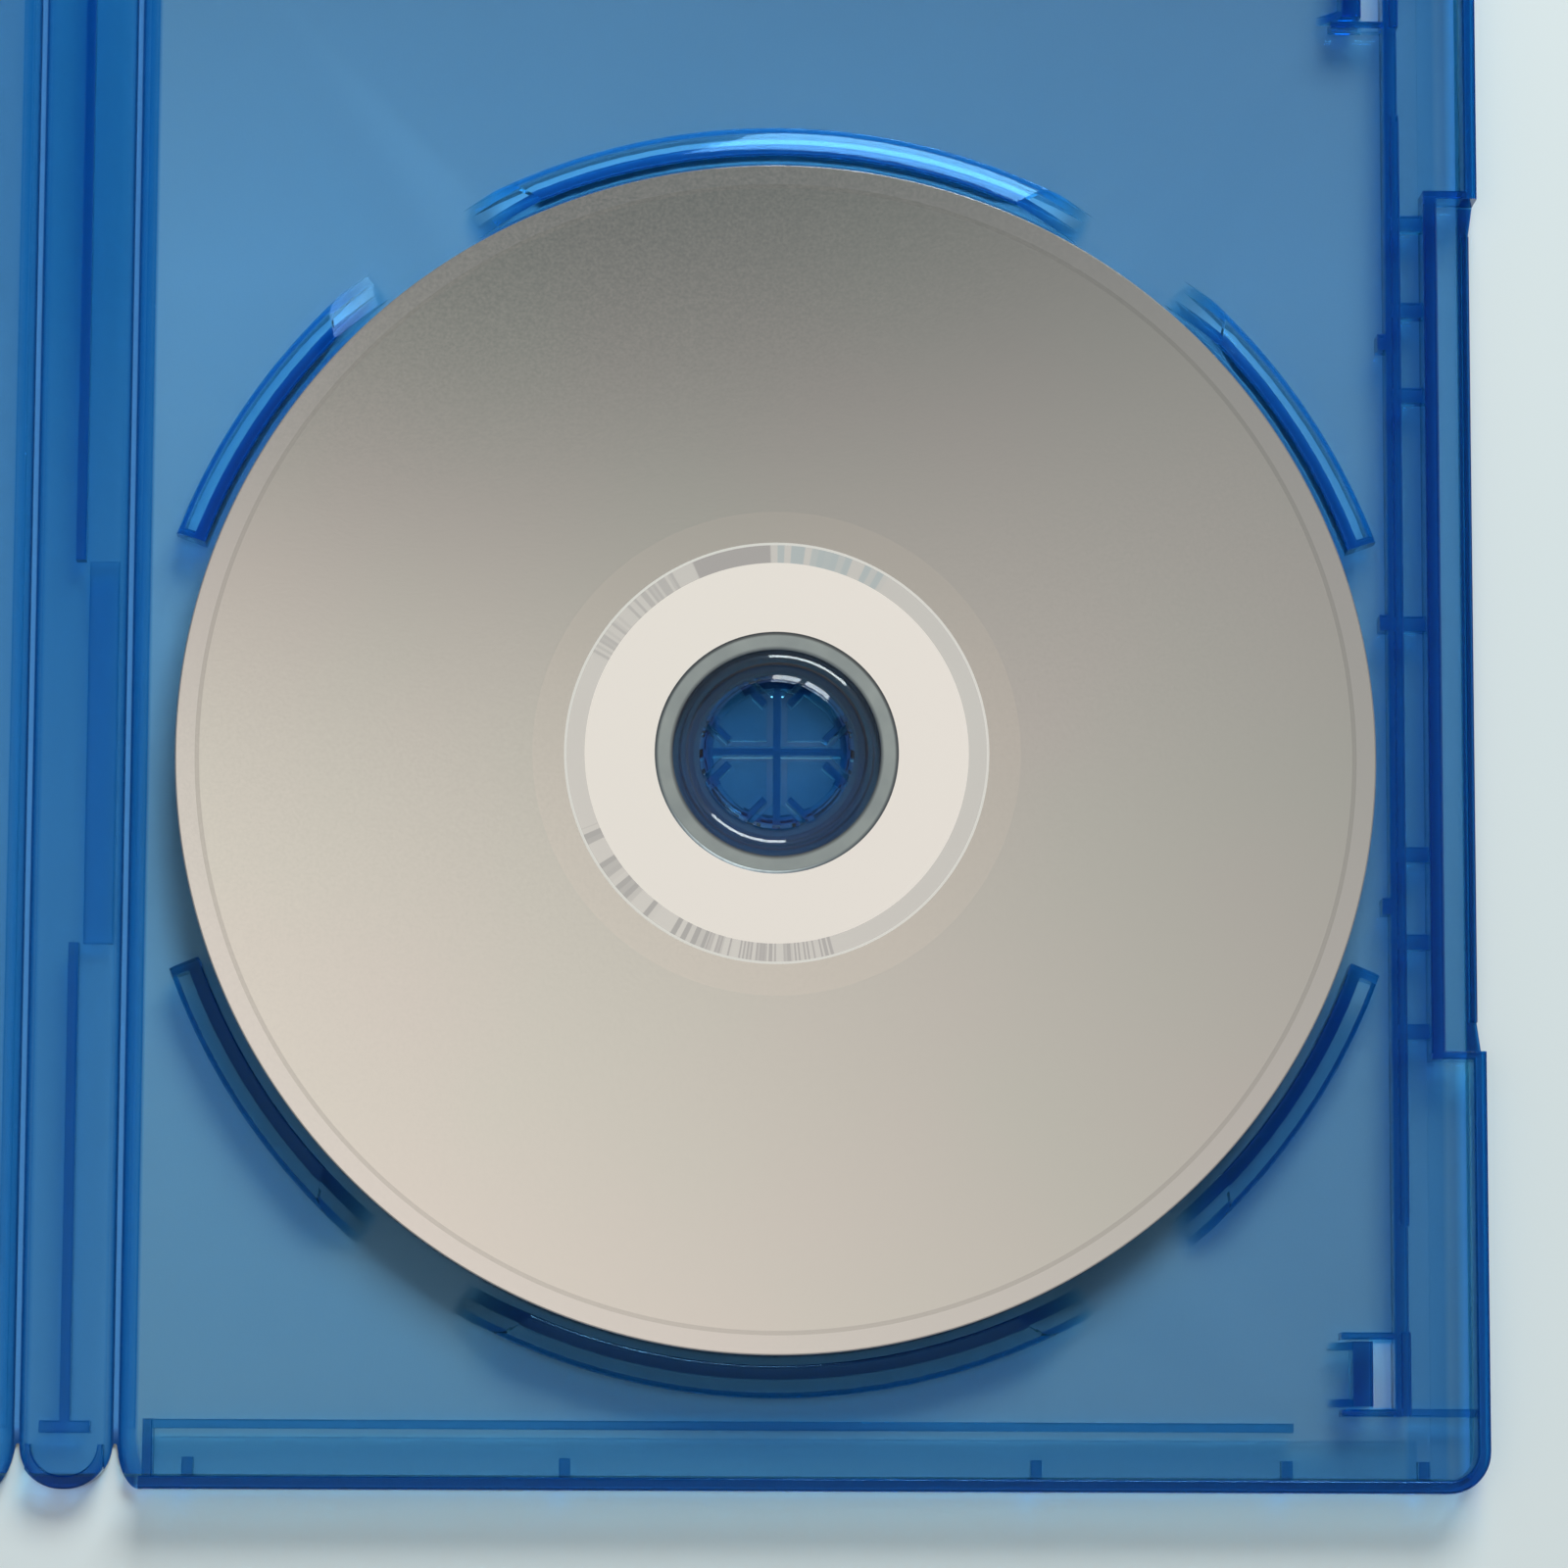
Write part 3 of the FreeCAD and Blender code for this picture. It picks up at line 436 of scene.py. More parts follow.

# %% [markdown]
# Two edges are tinted deep blue on the surface: the low lip that closes the notch in the free
# edge, and the rounded ends of the spine with the corners beside it. The tint stands in for the
# dye seen end on, and it is partly painted shade along these edges. More dye would darken the
# panels too, so there the surface itself is tinted, by its place on the case.

# %% Deep blue edges, partly painted shade
NO_TINT, DEEP_TINT_AND_SHADE = (1.0, 1.0, 1.0), (0.05, 0.29, 0.64)
NOTCH_ENDS, NOTCH_LIP = (-42.0 * MM, 44.6 * MM), cad_high.x - 1.4 * MM
SPINE_END_X = (-7.0 * MM, 7.0 * MM)
blue_x, blue_y, blue_height = blue.axes()
blue_far = blue.maths("ABSOLUTE", blue_y)
at_notch_lip = blue.both(
    blue.rises(blue_x, NOTCH_LIP - 0.1 * MM, NOTCH_LIP),
    blue.within(blue_y, *NOTCH_ENDS, 0.05 * MM),
)
at_spine_end = blue.both(
    blue.within(blue_x, *SPINE_END_X, 0.3 * MM),
    blue.rises(blue_far, HALF_HEIGHT - 1.7 * MM, HALF_HEIGHT - 1.2 * MM),
)
# Tint for the dye seen end on, partly painted shade.
deep_edge_and_shade = blue.maths("MAXIMUM", at_notch_lip, at_spine_end)
blue.wire(blue.mix(deep_edge_and_shade, NO_TINT, DEEP_TINT_AND_SHADE), blue_shader.inputs["Base Color"])
print("notch", round((NOTCH_ENDS[1] - NOTCH_ENDS[0]) / MM, 1), "mm long")

# %% [markdown]
# The plastic's gloss is blue too, but the lip of the hub glints white, and the ramp at the
# upper end of the left ridge is duller than the rest. Both are found by their distance from
# the disc's axis, and then the lip by its height and the ramp by its angle. The tint goes on
# the shader's Specular Tint, so the lamps still make the glints.

# %% Gloss of the plastic
GLOSS, LIP_GLOSS, RAMP_GLOSS = (0.22, 0.60, 1.0), (1.0, 1.0, 1.0), (0.10, 0.20, 0.30)
HUB_LIP = (7.0 * MM, 7.9 * MM, 0.05 * MM)
RAMP_ACROSS = (60.5 * MM, 65.5 * MM, 0.1 * MM)
RAMP_ALONG = (math.radians(-49.0), math.radians(-39.0), 0.004)
disc_low, disc_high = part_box("disc")
DISC_MIDDLE = (disc_low + disc_high) / 2
DISC_AXIS = (DISC_MIDDLE.x, DISC_MIDDLE.y, 0)
from_axis = blue.distance(DISC_AXIS)
on_lip = blue.both(
    blue.within(from_axis, *HUB_LIP), blue.rises(blue_height, 4.9 * MM, 5.0 * MM)
)
on_ramp = blue.both(
    blue.within(from_axis, *RAMP_ACROSS), blue.within(blue.turn(DISC_AXIS), *RAMP_ALONG)
)
blue_gloss = blue.mix(on_ramp, blue.mix(on_lip, GLOSS, LIP_GLOSS), RAMP_GLOSS)
blue.wire(blue_gloss, blue_shader.inputs["Specular Tint"])
print("disc's axis at", [round(place / MM, 2) for place in DISC_AXIS[:2]], "mm")

# %% [markdown]
# A renderer seldom finds the bent way from a lamp through clear plastic, so the paper behind it
# would be too dark. So lamps are let through by a Transparent shader on shadow rays. The panel
# and the walls on it let most of the light pass. The rims at the top and bottom of the case
# hold most of it back, as does the border under them, so the case throws a shadow.

# %% Lamp light through the plastic
BORDER_SHARE, PANEL_SHARE, WALL_GAIN, RIM_SHARE = 0.10, 0.80, 1.12, 0.10
panel_share = blue.spread(blue_height, BORDER_SHARE, PANEL_SHARE, 0.20 * MM, 0.28 * MM)
wall_share = blue.spread(blue_height, 1.0, WALL_GAIN, 1.22 * MM, 1.6 * MM)
rim_share = blue.spread(
    blue_far, 1.0, RIM_SHARE, HALF_HEIGHT - 1.45 * MM, HALF_HEIGHT - 1.35 * MM
)
blue_share = blue.both(panel_share, blue.both(wall_share, rim_share))
blue.let_lamps_through(blue_shader, blue_share)
print("panel lets", PANEL_SHARE, "of the lamp through each face")

# %% [markdown]
# ## The three leaves of the moulding
# The tray, the spine and the cover keep their exact CAD shapes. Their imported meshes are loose
# triangles, which makes round walls look faceted, so each leaf is a copy with its points
# merged and its round faces shaded smooth, while chamfers and corners stay crisp.

# %% Smooth copies of the leaves
CRISP_ANGLE = math.radians(32)
LEAVES = {
    "tray_shell": ("tray_moulding", "tray"),
    "spine": ("spine_moulding", "spine"),
    "cover_shell": ("cover_moulding", "cover"),
}
for node, (name, body) in LEAVES.items():
    leaf = bpy.data.objects.new(name, frame["nodes"][node].data.copy())
    bpy.context.scene.collection.objects.link(leaf)
    take(leaf)
    bpy.ops.mesh.customdata_custom_splitnormals_clear()
    edit(leaf, "VERT")
    bpy.ops.mesh.select_all(action="SELECT")
    bpy.ops.mesh.remove_doubles(threshold=SAME_PLACE)
    take(leaf)
    bpy.ops.object.shade_smooth_by_angle(angle=CRISP_ANGLE)
    dress(leaf, blue)
    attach(leaf, body)
    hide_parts(node)
    print(name, len(leaf.data.polygons), "faces")

# %% [markdown]
# ## Living hinges
# Between the leaves the moulding thins to a web about a third of a millimetre thick, and that
# web is the hinge. It has to bend, so each web is a thin bar cut into narrow strips across the
# fold.

# %% Webs cut into strips
FOLD_STRIPS = 8
STRIPPED_SHARE = 0.96


def bar_between(name, low, high):
    """A block that fills the space between two corners, with its place in its mesh."""
    bpy.ops.object.select_all(action="DESELECT")
    bpy.ops.mesh.primitive_cube_add(size=1, location=(Vector(low) + Vector(high)) / 2)
    piece = new_piece(name)
    piece.scale = Vector(high) - Vector(low)
    done(piece)
    return piece


def cut_across(piece, places):
    """Cuts a piece across at places along X."""
    edit(piece, "VERT")
    for place in places:
        bpy.ops.mesh.select_all(action="SELECT")
        bpy.ops.mesh.bisect(plane_co=(place, 0, 0), plane_no=(1, 0, 0))
    take(piece)


def strip_at_fold(piece, fold, half):
    """Cuts a piece into narrow strips from one side of a fold line to the other."""
    steps = range(FOLD_STRIPS + 1)
    cut_across(piece, [fold - half + 2 * half * step / FOLD_STRIPS for step in steps])


WEBS = {"tray_hinge": (TRAY_FOLD, "tray", 1), "cover_hinge": (COVER_FOLD, "cover", -1)}
for node, (fold, leaf_body, side) in WEBS.items():
    low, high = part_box(node)
    web_half = (high.x - low.x) / 2
    web = bar_between(node + "_web", low, high)
    strip_at_fold(web, fold, web_half * STRIPPED_SHARE)
    bpy.ops.object.shade_smooth_by_angle(angle=CRISP_ANGLE)
    dress(web, blue)
    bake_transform(web)
    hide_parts(node)
    print(web.name, round(2 * web_half / MM, 2), "mm wide,", len(web.data.polygons), "faces")

# %% [markdown]
# ## Inside of the title sheet
# Behind the plastic lies one sheet of paper, printed on its outside only. Its inside is plain
# and a little grey, and it is what makes the panels look pale. A picture of it could be
# painted. A few tones that are mixed by place are enough, and stay sharp at any size: two that
# drift into each other, one towards the top and one towards the foot.

# %% Inside of the paper
FLAT_PLACE = "flat_place"
PAPER_TONES = (0.735, 0.48, 0.555), (0.79, 0.516, 0.597)
PAPER_TOP, PAPER_FOOT = (0.635, 0.398, 0.453), (0.80, 0.436, 0.44)
# Painted shade: behind the spine's walls the sheet is deep blue, lighter towards the foot.
SPINE_SHADE_TOP, SPINE_SHADE_FOOT = (0.06, 0.20, 0.39), (0.28, 0.285, 0.42)
MIDDLE_Y, HIGH_Y, LOW_Y = 36 * MM, 66 * MM, -76 * MM
inside = Finish("title_paper_inside", FLAT_PLACE)
inside_shader = inside.shader(Roughness=0.85, IOR=1.45)
inside.relief(inside_shader, inside.noise(5000.0), 0.01 * MM)
sheet_x, sheet_y, _ = inside.axes()
to_foot = inside.rises(sheet_y, MIDDLE_Y, LOW_Y)
leaf_paper = inside.mix(inside.drift(14.0, 4.0), *PAPER_TONES)
leaf_paper = inside.mix(inside.rises(sheet_y, MIDDLE_Y, HIGH_Y), leaf_paper, PAPER_TOP)
leaf_paper = inside.mix(to_foot, leaf_paper, PAPER_FOOT)
shaded_spine_paper = inside.mix(to_foot, SPINE_SHADE_TOP, SPINE_SHADE_FOOT)
print("paper tones ready")

# %% [markdown]
# Under the long ridges round the upper half of the disc the sheet is painted paler, as painted
# light for the glow that the ridges show. Their place is a distance and an angle from the disc's
# axis. The sheet is darker to the right. Beside the rail, and on the cover close to its fold, it
# is darker with painted shade. It is pale again along the rim of the free edge, above and below
# the notch, with painted light.

# %% Painted light under the ridges and by the rim, painted shade by the rail and fold
PAINTED_LIGHT_UNDER_RIDGE, TO_RIGHT, SHADE_BY_RAIL = (0.97, 0.74, 0.86), (0.46, 0.256, 0.315), (0.33, 0.27, 0.37)
PAINTED_LIGHT_BY_RIM, SHADE_BY_COVER_FOLD = (0.82, 0.60, 0.68), (0.34, 0.31, 0.44)
RIDGE_ACROSS = (61.9 * MM, 64.3 * MM, 0.25 * MM)
TOP_RIDGE_END = (math.radians(26), math.radians(28))
SIDE_RIDGE = (math.radians(44), math.radians(69), math.radians(1))
RAIL_X, RIM_X = (132.8 * MM, 136.9 * MM, 0.3 * MM), (138.3 * MM, 139.6 * MM, 0.4 * MM)
hub_far = inside.distance(DISC_AXIS)
ridge_turn = inside.maths("ABSOLUTE", inside.turn(DISC_AXIS))
# Painted light under the ridges.
along_ridges = inside.maths(
    "ADD", inside.falls(ridge_turn, *TOP_RIDGE_END), inside.within(ridge_turn, *SIDE_RIDGE)
)
painted_light_under_ridge = inside.both(along_ridges, inside.within(hub_far, *RIDGE_ACROSS))
to_right = inside.spread(sheet_x, 0.0, 0.5, 15 * MM, 125 * MM)
off_notch = inside.maths("SUBTRACT", 1.0, inside.within(sheet_y, *NOTCH_ENDS, 0.5 * MM))
# Painted shade on the cover close to its fold.
shade_by_cover_fold = inside.both(
    inside.rises(sheet_x, -35 * MM, -12 * MM), inside.falls(sheet_x, -1 * MM, 1 * MM)
)
for mask, tone in (
    (painted_light_under_ridge, PAINTED_LIGHT_UNDER_RIDGE),
    (to_right, TO_RIGHT),
    # Painted shade beside the rail.
    (inside.within(sheet_x, *RAIL_X), SHADE_BY_RAIL),
    # Painted light along the rim of the free edge.
    (inside.both(inside.within(sheet_x, *RIM_X), off_notch), PAINTED_LIGHT_BY_RIM),
    (shade_by_cover_fold, SHADE_BY_COVER_FOLD),
):
    leaf_paper = inside.mix(mask, leaf_paper, tone)
print("ridges from", RIDGE_ACROSS[0] / MM, "to", RIDGE_ACROSS[1] / MM, "mm off the axis")

# %% [markdown]
# Beside the folds little light comes back from the sheet, so each leaf has a deep blue outline
# of painted shade there, which follows its rounded corners. Lines drawn on the moulding would
# float above the paper, so the painted shade is a tone of the sheet, by the distance from the
# fold less what the corner takes off.

# %% Painted shade outlines beside the folds
LEAF_CORNER, SPINE_CORNER = (2.6 * MM, 6.0 * MM), (4.4 * MM, 4.4 * MM)
OUTLINE_SHADE_STOPS = (
    (0.00, (0.0, 0.065, 0.24)),
    (0.55 * MM, (0.0, 0.065, 0.24)),
    (0.75 * MM, (0.02, 0.14, 0.35)),
    (1.35 * MM, (0.07, 0.21, 0.405)),
    (1.95 * MM, (0.17, 0.255, 0.42)),
)
sheet_far = inside.maths("ABSOLUTE", sheet_y)
fold_off = inside.maths("SUBTRACT", inside.maths("ABSOLUTE", sheet_x), TRAY_FOLD)


def corner_inset(corner):
    """How far a leaf's outline has moved off its fold, because its corner is round."""
    along = inside.rises(sheet_far, HALF_HEIGHT - corner[1], HALF_HEIGHT)
    rest = inside.maths("SUBTRACT", 1.0, inside.both(along, along))
    back = inside.maths("SUBTRACT", 1.0, inside.maths("SQRT", rest))
    return inside.both(back, corner[0])


def with_outline_shade(colour, side, corner, near, far):
    """A leaf's colour with its painted outline shade, which fades between two distances."""
    off = inside.maths("SUBTRACT", inside.both(fold_off, side), corner_inset(corner))
    return inside.mix(inside.falls(off, near, far), colour, inside.ramp(off, *OUTLINE_SHADE_STOPS))


leaf_colour = with_outline_shade(leaf_paper, 1.0, LEAF_CORNER, 1.9 * MM, 2.25 * MM)
spine_colour = with_outline_shade(shaded_spine_paper, -1.0, SPINE_CORNER, 0.75 * MM, 1.35 * MM)
on_spine = inside.falls(fold_off, -0.01 * MM, 0.01 * MM)
paper_colour = inside.mix(on_spine, leaf_colour, spine_colour)
print("outline", len(OUTLINE_SHADE_STOPS), "stops")

# %% [markdown]
# Between two outlines the sheet's crease is a narrow line where the painted shade is lighter,
# which ends before the rounded corners. Deep under the hub hardly any light gets in, and the
# paper there is darkened with painted shade too.
# The tray has a slot in each latch pocket, and the bare sheet is seen through it. It is a
# neutral grey there, since no blue plastic lies over it.

# %% Painted shade at the creases and under the hub, and bare paper
CREASE_SHADE, SHADE_UNDER_SEAT = (0.10, 0.235, 0.51), (0.012, 0.03, 0.08)
SHADE_UNDER_CROWN, BARE_PAPER = (0.085, 0.125, 0.23), (0.40, 0.44, 0.56)
CREASE_END_Y = 79 * MM
SLOT_X, SLOT_LENGTH, SLOT_SOFT = (129.1 * MM, 131.6 * MM), 7.0 * MM, 0.1 * MM
SLOT_MIDDLES = (-74.0 * MM, 66.7 * MM)
# Painted shade at the crease, lighter than the outline beside it.
crease_shade = inside.falls(inside.maths("ABSOLUTE", fold_off), 0.17 * MM, 0.30 * MM)
crease_shade = inside.both(crease_shade, inside.falls(sheet_far, CREASE_END_Y, CREASE_END_Y + 2 * MM))
paper_colour = inside.mix(crease_shade, paper_colour, CREASE_SHADE)
# Painted shade under the hub's seat and crown.
shade_under_seat = inside.falls(hub_far, 10.4 * MM, 11.0 * MM)
paper_colour = inside.mix(shade_under_seat, paper_colour, SHADE_UNDER_SEAT)
shade_under_crown = inside.falls(hub_far, 6.6 * MM, 7.0 * MM)
paper_colour = inside.mix(shade_under_crown, paper_colour, SHADE_UNDER_CROWN)
for slot_y in SLOT_MIDDLES:
    slot_ends = slot_y - SLOT_LENGTH / 2, slot_y + SLOT_LENGTH / 2
    in_slot = inside.both(
        inside.within(sheet_x, *SLOT_X, SLOT_SOFT), inside.within(sheet_y, *slot_ends, SLOT_SOFT)
    )
    paper_colour = inside.mix(in_slot, paper_colour, BARE_PAPER)
inside.wire(paper_colour, inside_shader.inputs["Base Color"])
print("paper inside", len(inside.tree.nodes), "nodes")

# %% [markdown]
# ## Print on the outside of the sheet
# The outside is printed. The print here is a plain design of its own: a sky that goes from
# petrol to night blue with a pale round sun and a sand band on the front, a dark spine with one
# sand block, and a light back with three dark squares. Every field is a limit on X or Y, and the
# sun is a distance from a point, so no picture is needed.

# %% Fields of the print
PETROL, NIGHT, SAND = (0.05, 0.23, 0.27), (0.012, 0.035, 0.10), (0.62, 0.42, 0.22)
SUN, LIGHT_GREY = (0.80, 0.66, 0.44), (0.62, 0.66, 0.66)
EDGE_SOFT = 0.08 * MM
SUN_PLACE, SUN_R = (-72 * MM, 18 * MM, 0), 34 * MM
SQUARE_MIDDLES, SQUARE_HALF = (30 * MM, 72 * MM, 114 * MM), 15 * MM
outside = Finish("title_paper_print", FLAT_PLACE)
print_x, print_y, _ = outside.axes()


def print_band(low, high, along=print_y):
    """A mask for a printed band between two limits."""
    return outside.within(along, low, high, EDGE_SOFT)


front = outside.mix(outside.rises(print_y, -70 * MM, 80 * MM), PETROL, NIGHT)
in_sun = outside.falls(outside.distance(SUN_PLACE), SUN_R - EDGE_SOFT, SUN_R + EDGE_SOFT)
front = outside.mix(in_sun, front, SUN)
front = outside.mix(print_band(-64 * MM, -46 * MM), front, SAND)
back = outside.mix(print_band(52 * MM, 90 * MM), LIGHT_GREY, NIGHT)
for middle in SQUARE_MIDDLES:
    across = print_band(middle - SQUARE_HALF, middle + SQUARE_HALF, print_x)
    back = outside.mix(outside.both(across, print_band(8 * MM, 38 * MM)), back, PETROL)
spine_print = outside.mix(print_band(48 * MM, 66 * MM), NIGHT, SAND)
print("print", 1 + len(SQUARE_MIDDLES), "shapes")

# %% [markdown]
# The three fields meet at the fold lines. Ink on paper is never quite even, so a fine grain
# lightens the print a little and changes its gloss with it.

# %% Outside of the paper
FADE = (0.035, 0.035, 0.035)
outside_shader = outside.shader(IOR=1.5)
on_back = outside.rises(print_x, TRAY_FOLD - EDGE_SOFT, TRAY_FOLD + EDGE_SOFT)
on_front = outside.falls(print_x, COVER_FOLD - EDGE_SOFT, COVER_FOLD + EDGE_SOFT)
wrap_print = outside.mix(on_front, outside.mix(on_back, spine_print, back), front)
ink_grain = outside.drift(2600.0, 2.0)
faded_print = outside.mix(ink_grain, wrap_print, FADE, "SCREEN")
outside.wire(faded_print, outside_shader.inputs["Base Color"])
outside.roughen(outside_shader, ink_grain, 0.34, 0.46, 0.0, 1.0)
print("print", len(outside.tree.nodes), "nodes")

# %% [markdown]
# ## Sheets that fold
# Paper and film have no hinge: they bend round the spine's edges. A whole sheet would cross two
# folds, and a bend is shared by two bodies only, so each sheet is two halves that meet in the
# middle of the spine. Both sheets follow the rounded corners of the leaves where they cross a
# fold, and a small gap in the shape of a V is left there. Each half starts as a bar, is cut
# across beside the fold, and the ends of every cut are drawn in to the outline of the leaves.

# %% Ends of a sheet at a fold
ROUND_CUTS = [
    *(-4.7, -4.0, -3.3, -2.6, -2.0, -1.5, -1.1, -0.8, -0.6),
    *(0.6, 0.8, 1.1, 1.4, 1.8, 2.2, 2.6),
]
web_low, web_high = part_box("cover_hinge")
WEB_HALF = (web_high.x - web_low.x) / 2


def end_of_leaves(x):
    """How far up and down the leaves reach at a place across the case."""
    off = abs(x) - TRAY_FOLD
    across, along = LEAF_CORNER if off > 0 else SPINE_CORNER
    reach = min((off if off > 0 else max(-off - WEB_HALF, 0)) / across, 1)
    return HALF_HEIGHT - along + along * math.sqrt(1 - (1 - reach) ** 2)


def round_at_fold(piece, fold, side, inset):
    """Cuts a half sheet beside its fold and draws the cuts in to the leaves' outline."""
    cut_across(piece, [fold + side * place * MM for place in ROUND_CUTS])
    edit(piece, "VERT")
    mesh = bmesh.from_edit_mesh(piece.data)
    half = max(v.co.y for v in mesh.verts)
    for x in sorted({round(v.co.x, 7) for v in mesh.verts}):
        end = end_of_leaves(x) - inset
        if end < half:
            pick(piece, "verts", lambda v: abs(v.co.x - x) < SAME_PLACE)
            bpy.ops.transform.resize(value=(1, end / half, 1), center_override=(x, 0, 0))
    take(piece)


print("cuts beside a fold", len(ROUND_CUTS) + FOLD_STRIPS + 1)

# %% [markdown]
# A half sheet is then a bar with these cuts. The place of each of its points on the flat sheet
# is kept in an attribute, which its finish reads, so that the print stays where it is on the
# paper at every angle of the hinge.

# %% Half sheets
SHEET_HALVES = {"tray": (TRAY_FOLD, 1), "cover": (COVER_FOLD, -1)}
FOLD_HALF = 0.45 * MM


def folded_half(name, kind, body, grow=0.0, inset=0.0):
    """Half of a sheet: from the middle of the spine to the far edge of one leaf."""
    fold, side = SHEET_HALVES[body]
    low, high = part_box(kind + "_" + body)
    spread_out = Vector((grow, grow, 0))
    low, high = low - spread_out, high + spread_out
    if side > 0:
        low.x = 0
    else:
        high.x = 0
    piece = bar_between(name, low, high)
    strip_at_fold(piece, fold, FOLD_HALF)
    round_at_fold(piece, fold, side, inset)
    return piece


def fold_over(piece):
    """Keeps the flat place of each point and puts the half's place into its mesh."""
    flat_place = piece.data.attributes.new(FLAT_PLACE, "FLOAT_VECTOR", "POINT")
    flat_place.data.foreach_set("vector", [c for v in piece.data.vertices for c in v.co])
    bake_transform(piece)


print("bend", 2 * FOLD_HALF / MM, "mm wide")

# %% [markdown]
# ## Title sheet
# The paper is one sheet behind all three leaves. Each half gets both finishes: the plain one all
# over, and the print on the faces that look down, which are the outside of the closed case.

# %% Paper
PAPER_GROW, PAPER_INSET = 0.25 * MM, 0.1 * MM
PAPER_NODES = {"tray": ["title_sheet_tray", "title_sheet_spine"], "cover": ["title_sheet_cover"]}
for body, stands_for in PAPER_NODES.items():
    name = "title_paper_" + body + "_half"
    sheet = folded_half(name, "title_sheet", body, PAPER_GROW, PAPER_INSET)
    dress(sheet, inside, outside)
    edit(sheet)
    pick(sheet, "faces", lambda face: face.normal.z < -0.5)
    sheet.active_material_index = 1
    bpy.ops.object.material_slot_assign()
    take(sheet)
    fold_over(sheet)
    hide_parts(*stands_for)
    print(sheet.name, len(sheet.data.polygons), "faces")

# %% [markdown]
# ## Clear sleeve
# A thin clear film is welded round the edge of the case and holds the paper. It wraps the
# outside in the same way, so it is modelled as the paper is, and the upright edges at its far
# corners are rounded with a bevel. Its slow waves show as soft bends in what it mirrors.

# %% Film
FILM_CORNER, CORNER_STEPS = 3.7 * MM, 10
FILM_NODES = {"tray": ["sleeve_tray", "sleeve_spine"], "cover": ["sleeve_cover"]}
film = Finish("clear_film", FLAT_PLACE)
film_shader = film.shader(Base_Color=(1, 1, 1, 1), IOR=1.49, Transmission_Weight=1.0)
film.roughen(film_shader, film.noise(60.0), 0.03, 0.08)
film.relief(film_shader, film.noise(45.0, 2.0), 0.03 * MM)
film.let_lamps_through(film_shader, 0.95)


def at_far_corner(edge):
    """Whether an edge stands upright at the far side of a half sheet."""
    first, second = (v.co for v in edge.verts)
    upright = abs(first.x - second.x) + abs(first.y - second.y) < SAME_PLACE
    return upright and abs(abs(first.x) - far_x) < SAME_PLACE


for body, stands_for in FILM_NODES.items():
    wrap = folded_half("clear_sleeve_" + body + "_half", "sleeve", body)
    far_x = max(abs(corner[0]) for corner in wrap.bound_box)
    edit(wrap, "EDGE")
    pick(wrap, "edges", at_far_corner)
    bpy.ops.mesh.bevel(offset=FILM_CORNER, segments=CORNER_STEPS, affect="EDGES")
    take(wrap)
    bpy.ops.object.shade_smooth_by_angle(angle=CRISP_ANGLE)
    dress(wrap, film)
    fold_over(wrap)
    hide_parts(*stands_for)
    print(wrap.name, len(wrap.data.polygons), "faces")

# %% [markdown]
# ## Disc
# The disc is a clear plate with a reflecting layer inside, seen from its reading side. That side
# is a metal layer under a thin hard coat. It mirrors the room softly, and its grey drifts a
# little towards pink and green. The ring where the data starts is a shade paler, and the
# outermost ring, past the data, is paler too, with a darker line inside it. All of them are one
# silvery finish with other numbers, so one function makes them.

# %% Silver finishes


def silver(name, pink, green, metal, rough):
    """A silvery finish with a slow drift of hue and a fine grain in its gloss."""
    finish = Finish(name)
    shader = finish.shader(Metallic=metal)
    hue = finish.mix(finish.drift(26.0, 2.0, 0.35, 0.65), pink, green)
    finish.wire(hue, shader.inputs["Base Color"])
    grain = finish.noise(3200.0, 2.0)
    finish.roughen(shader, grain, rough - 0.02, rough + 0.03)
    finish.relief(shader, grain, 0.0006 * MM)
    return finish


mirror = silver("disc_mirror", (0.775, 0.725, 0.69), (0.75, 0.735, 0.685), 1.0, 0.12)
mirror_start = silver("disc_mirror_start", (0.84, 0.775, 0.72), (0.80, 0.765, 0.71), 1.0, 0.14)
edge_ring = silver("disc_edge", (0.78, 0.735, 0.71), (0.76, 0.735, 0.705), 1.0, 0.14)
edge_line = silver("disc_edge_line", (0.655, 0.62, 0.59), (0.635, 0.615, 0.58), 1.0, 0.16)
bright_line = silver("disc_line", (0.90, 0.84, 0.78), (0.87, 0.835, 0.775), 0.3, 0.3)
white_ink = silver("disc_white_ink", (0.985, 0.875, 0.80), (0.97, 0.875, 0.795), 0.15, 0.30)
print("silver finishes ready")

# %% [markdown]
# ### Band with radial bars
# Nearer to the hole comes a narrow band with fine radial bars burnt into the metal. Hundreds of
# modelled bars would be a waste, so each bar is a step of the angle about the disc's axis, with
# a tone drawn at random. An angle jumps where it starts again, so the bars at the bottom count
# theirs from the bottom.

# %% Band with radial bars
BAND_TONES, DARK_TONE = ((0.80, 0.745, 0.70), (0.84, 0.79, 0.74)), (0.56, 0.52, 0.50)
DARK_BLOCK = (math.radians(-24), math.radians(-2), 0.004)
band = Finish("disc_band")
band_shader = band.shader(Metallic=0.5, Roughness=0.25)
band_x, band_y, _ = band.axes(DISC_AXIS)
from_top = band.turn(DISC_AXIS)
from_bottom = band.maths("ARCTAN2", band.both(band_x, -1.0), band.both(band_y, -1.0))


def bars(turn, per_radian, start, stop):
    """Random bars by angle, between two angles in degrees."""
    chance = band.add("TexWhiteNoise", noise_dimensions="1D")
    band.wire(band.maths("FLOOR", band.both(turn, per_radian)), chance.inputs["W"])
    lit = band.rises(chance.outputs["Value"], 0.40, 0.60)
    return band.both(lit, band.within(turn, math.radians(start), math.radians(stop), 0.002))


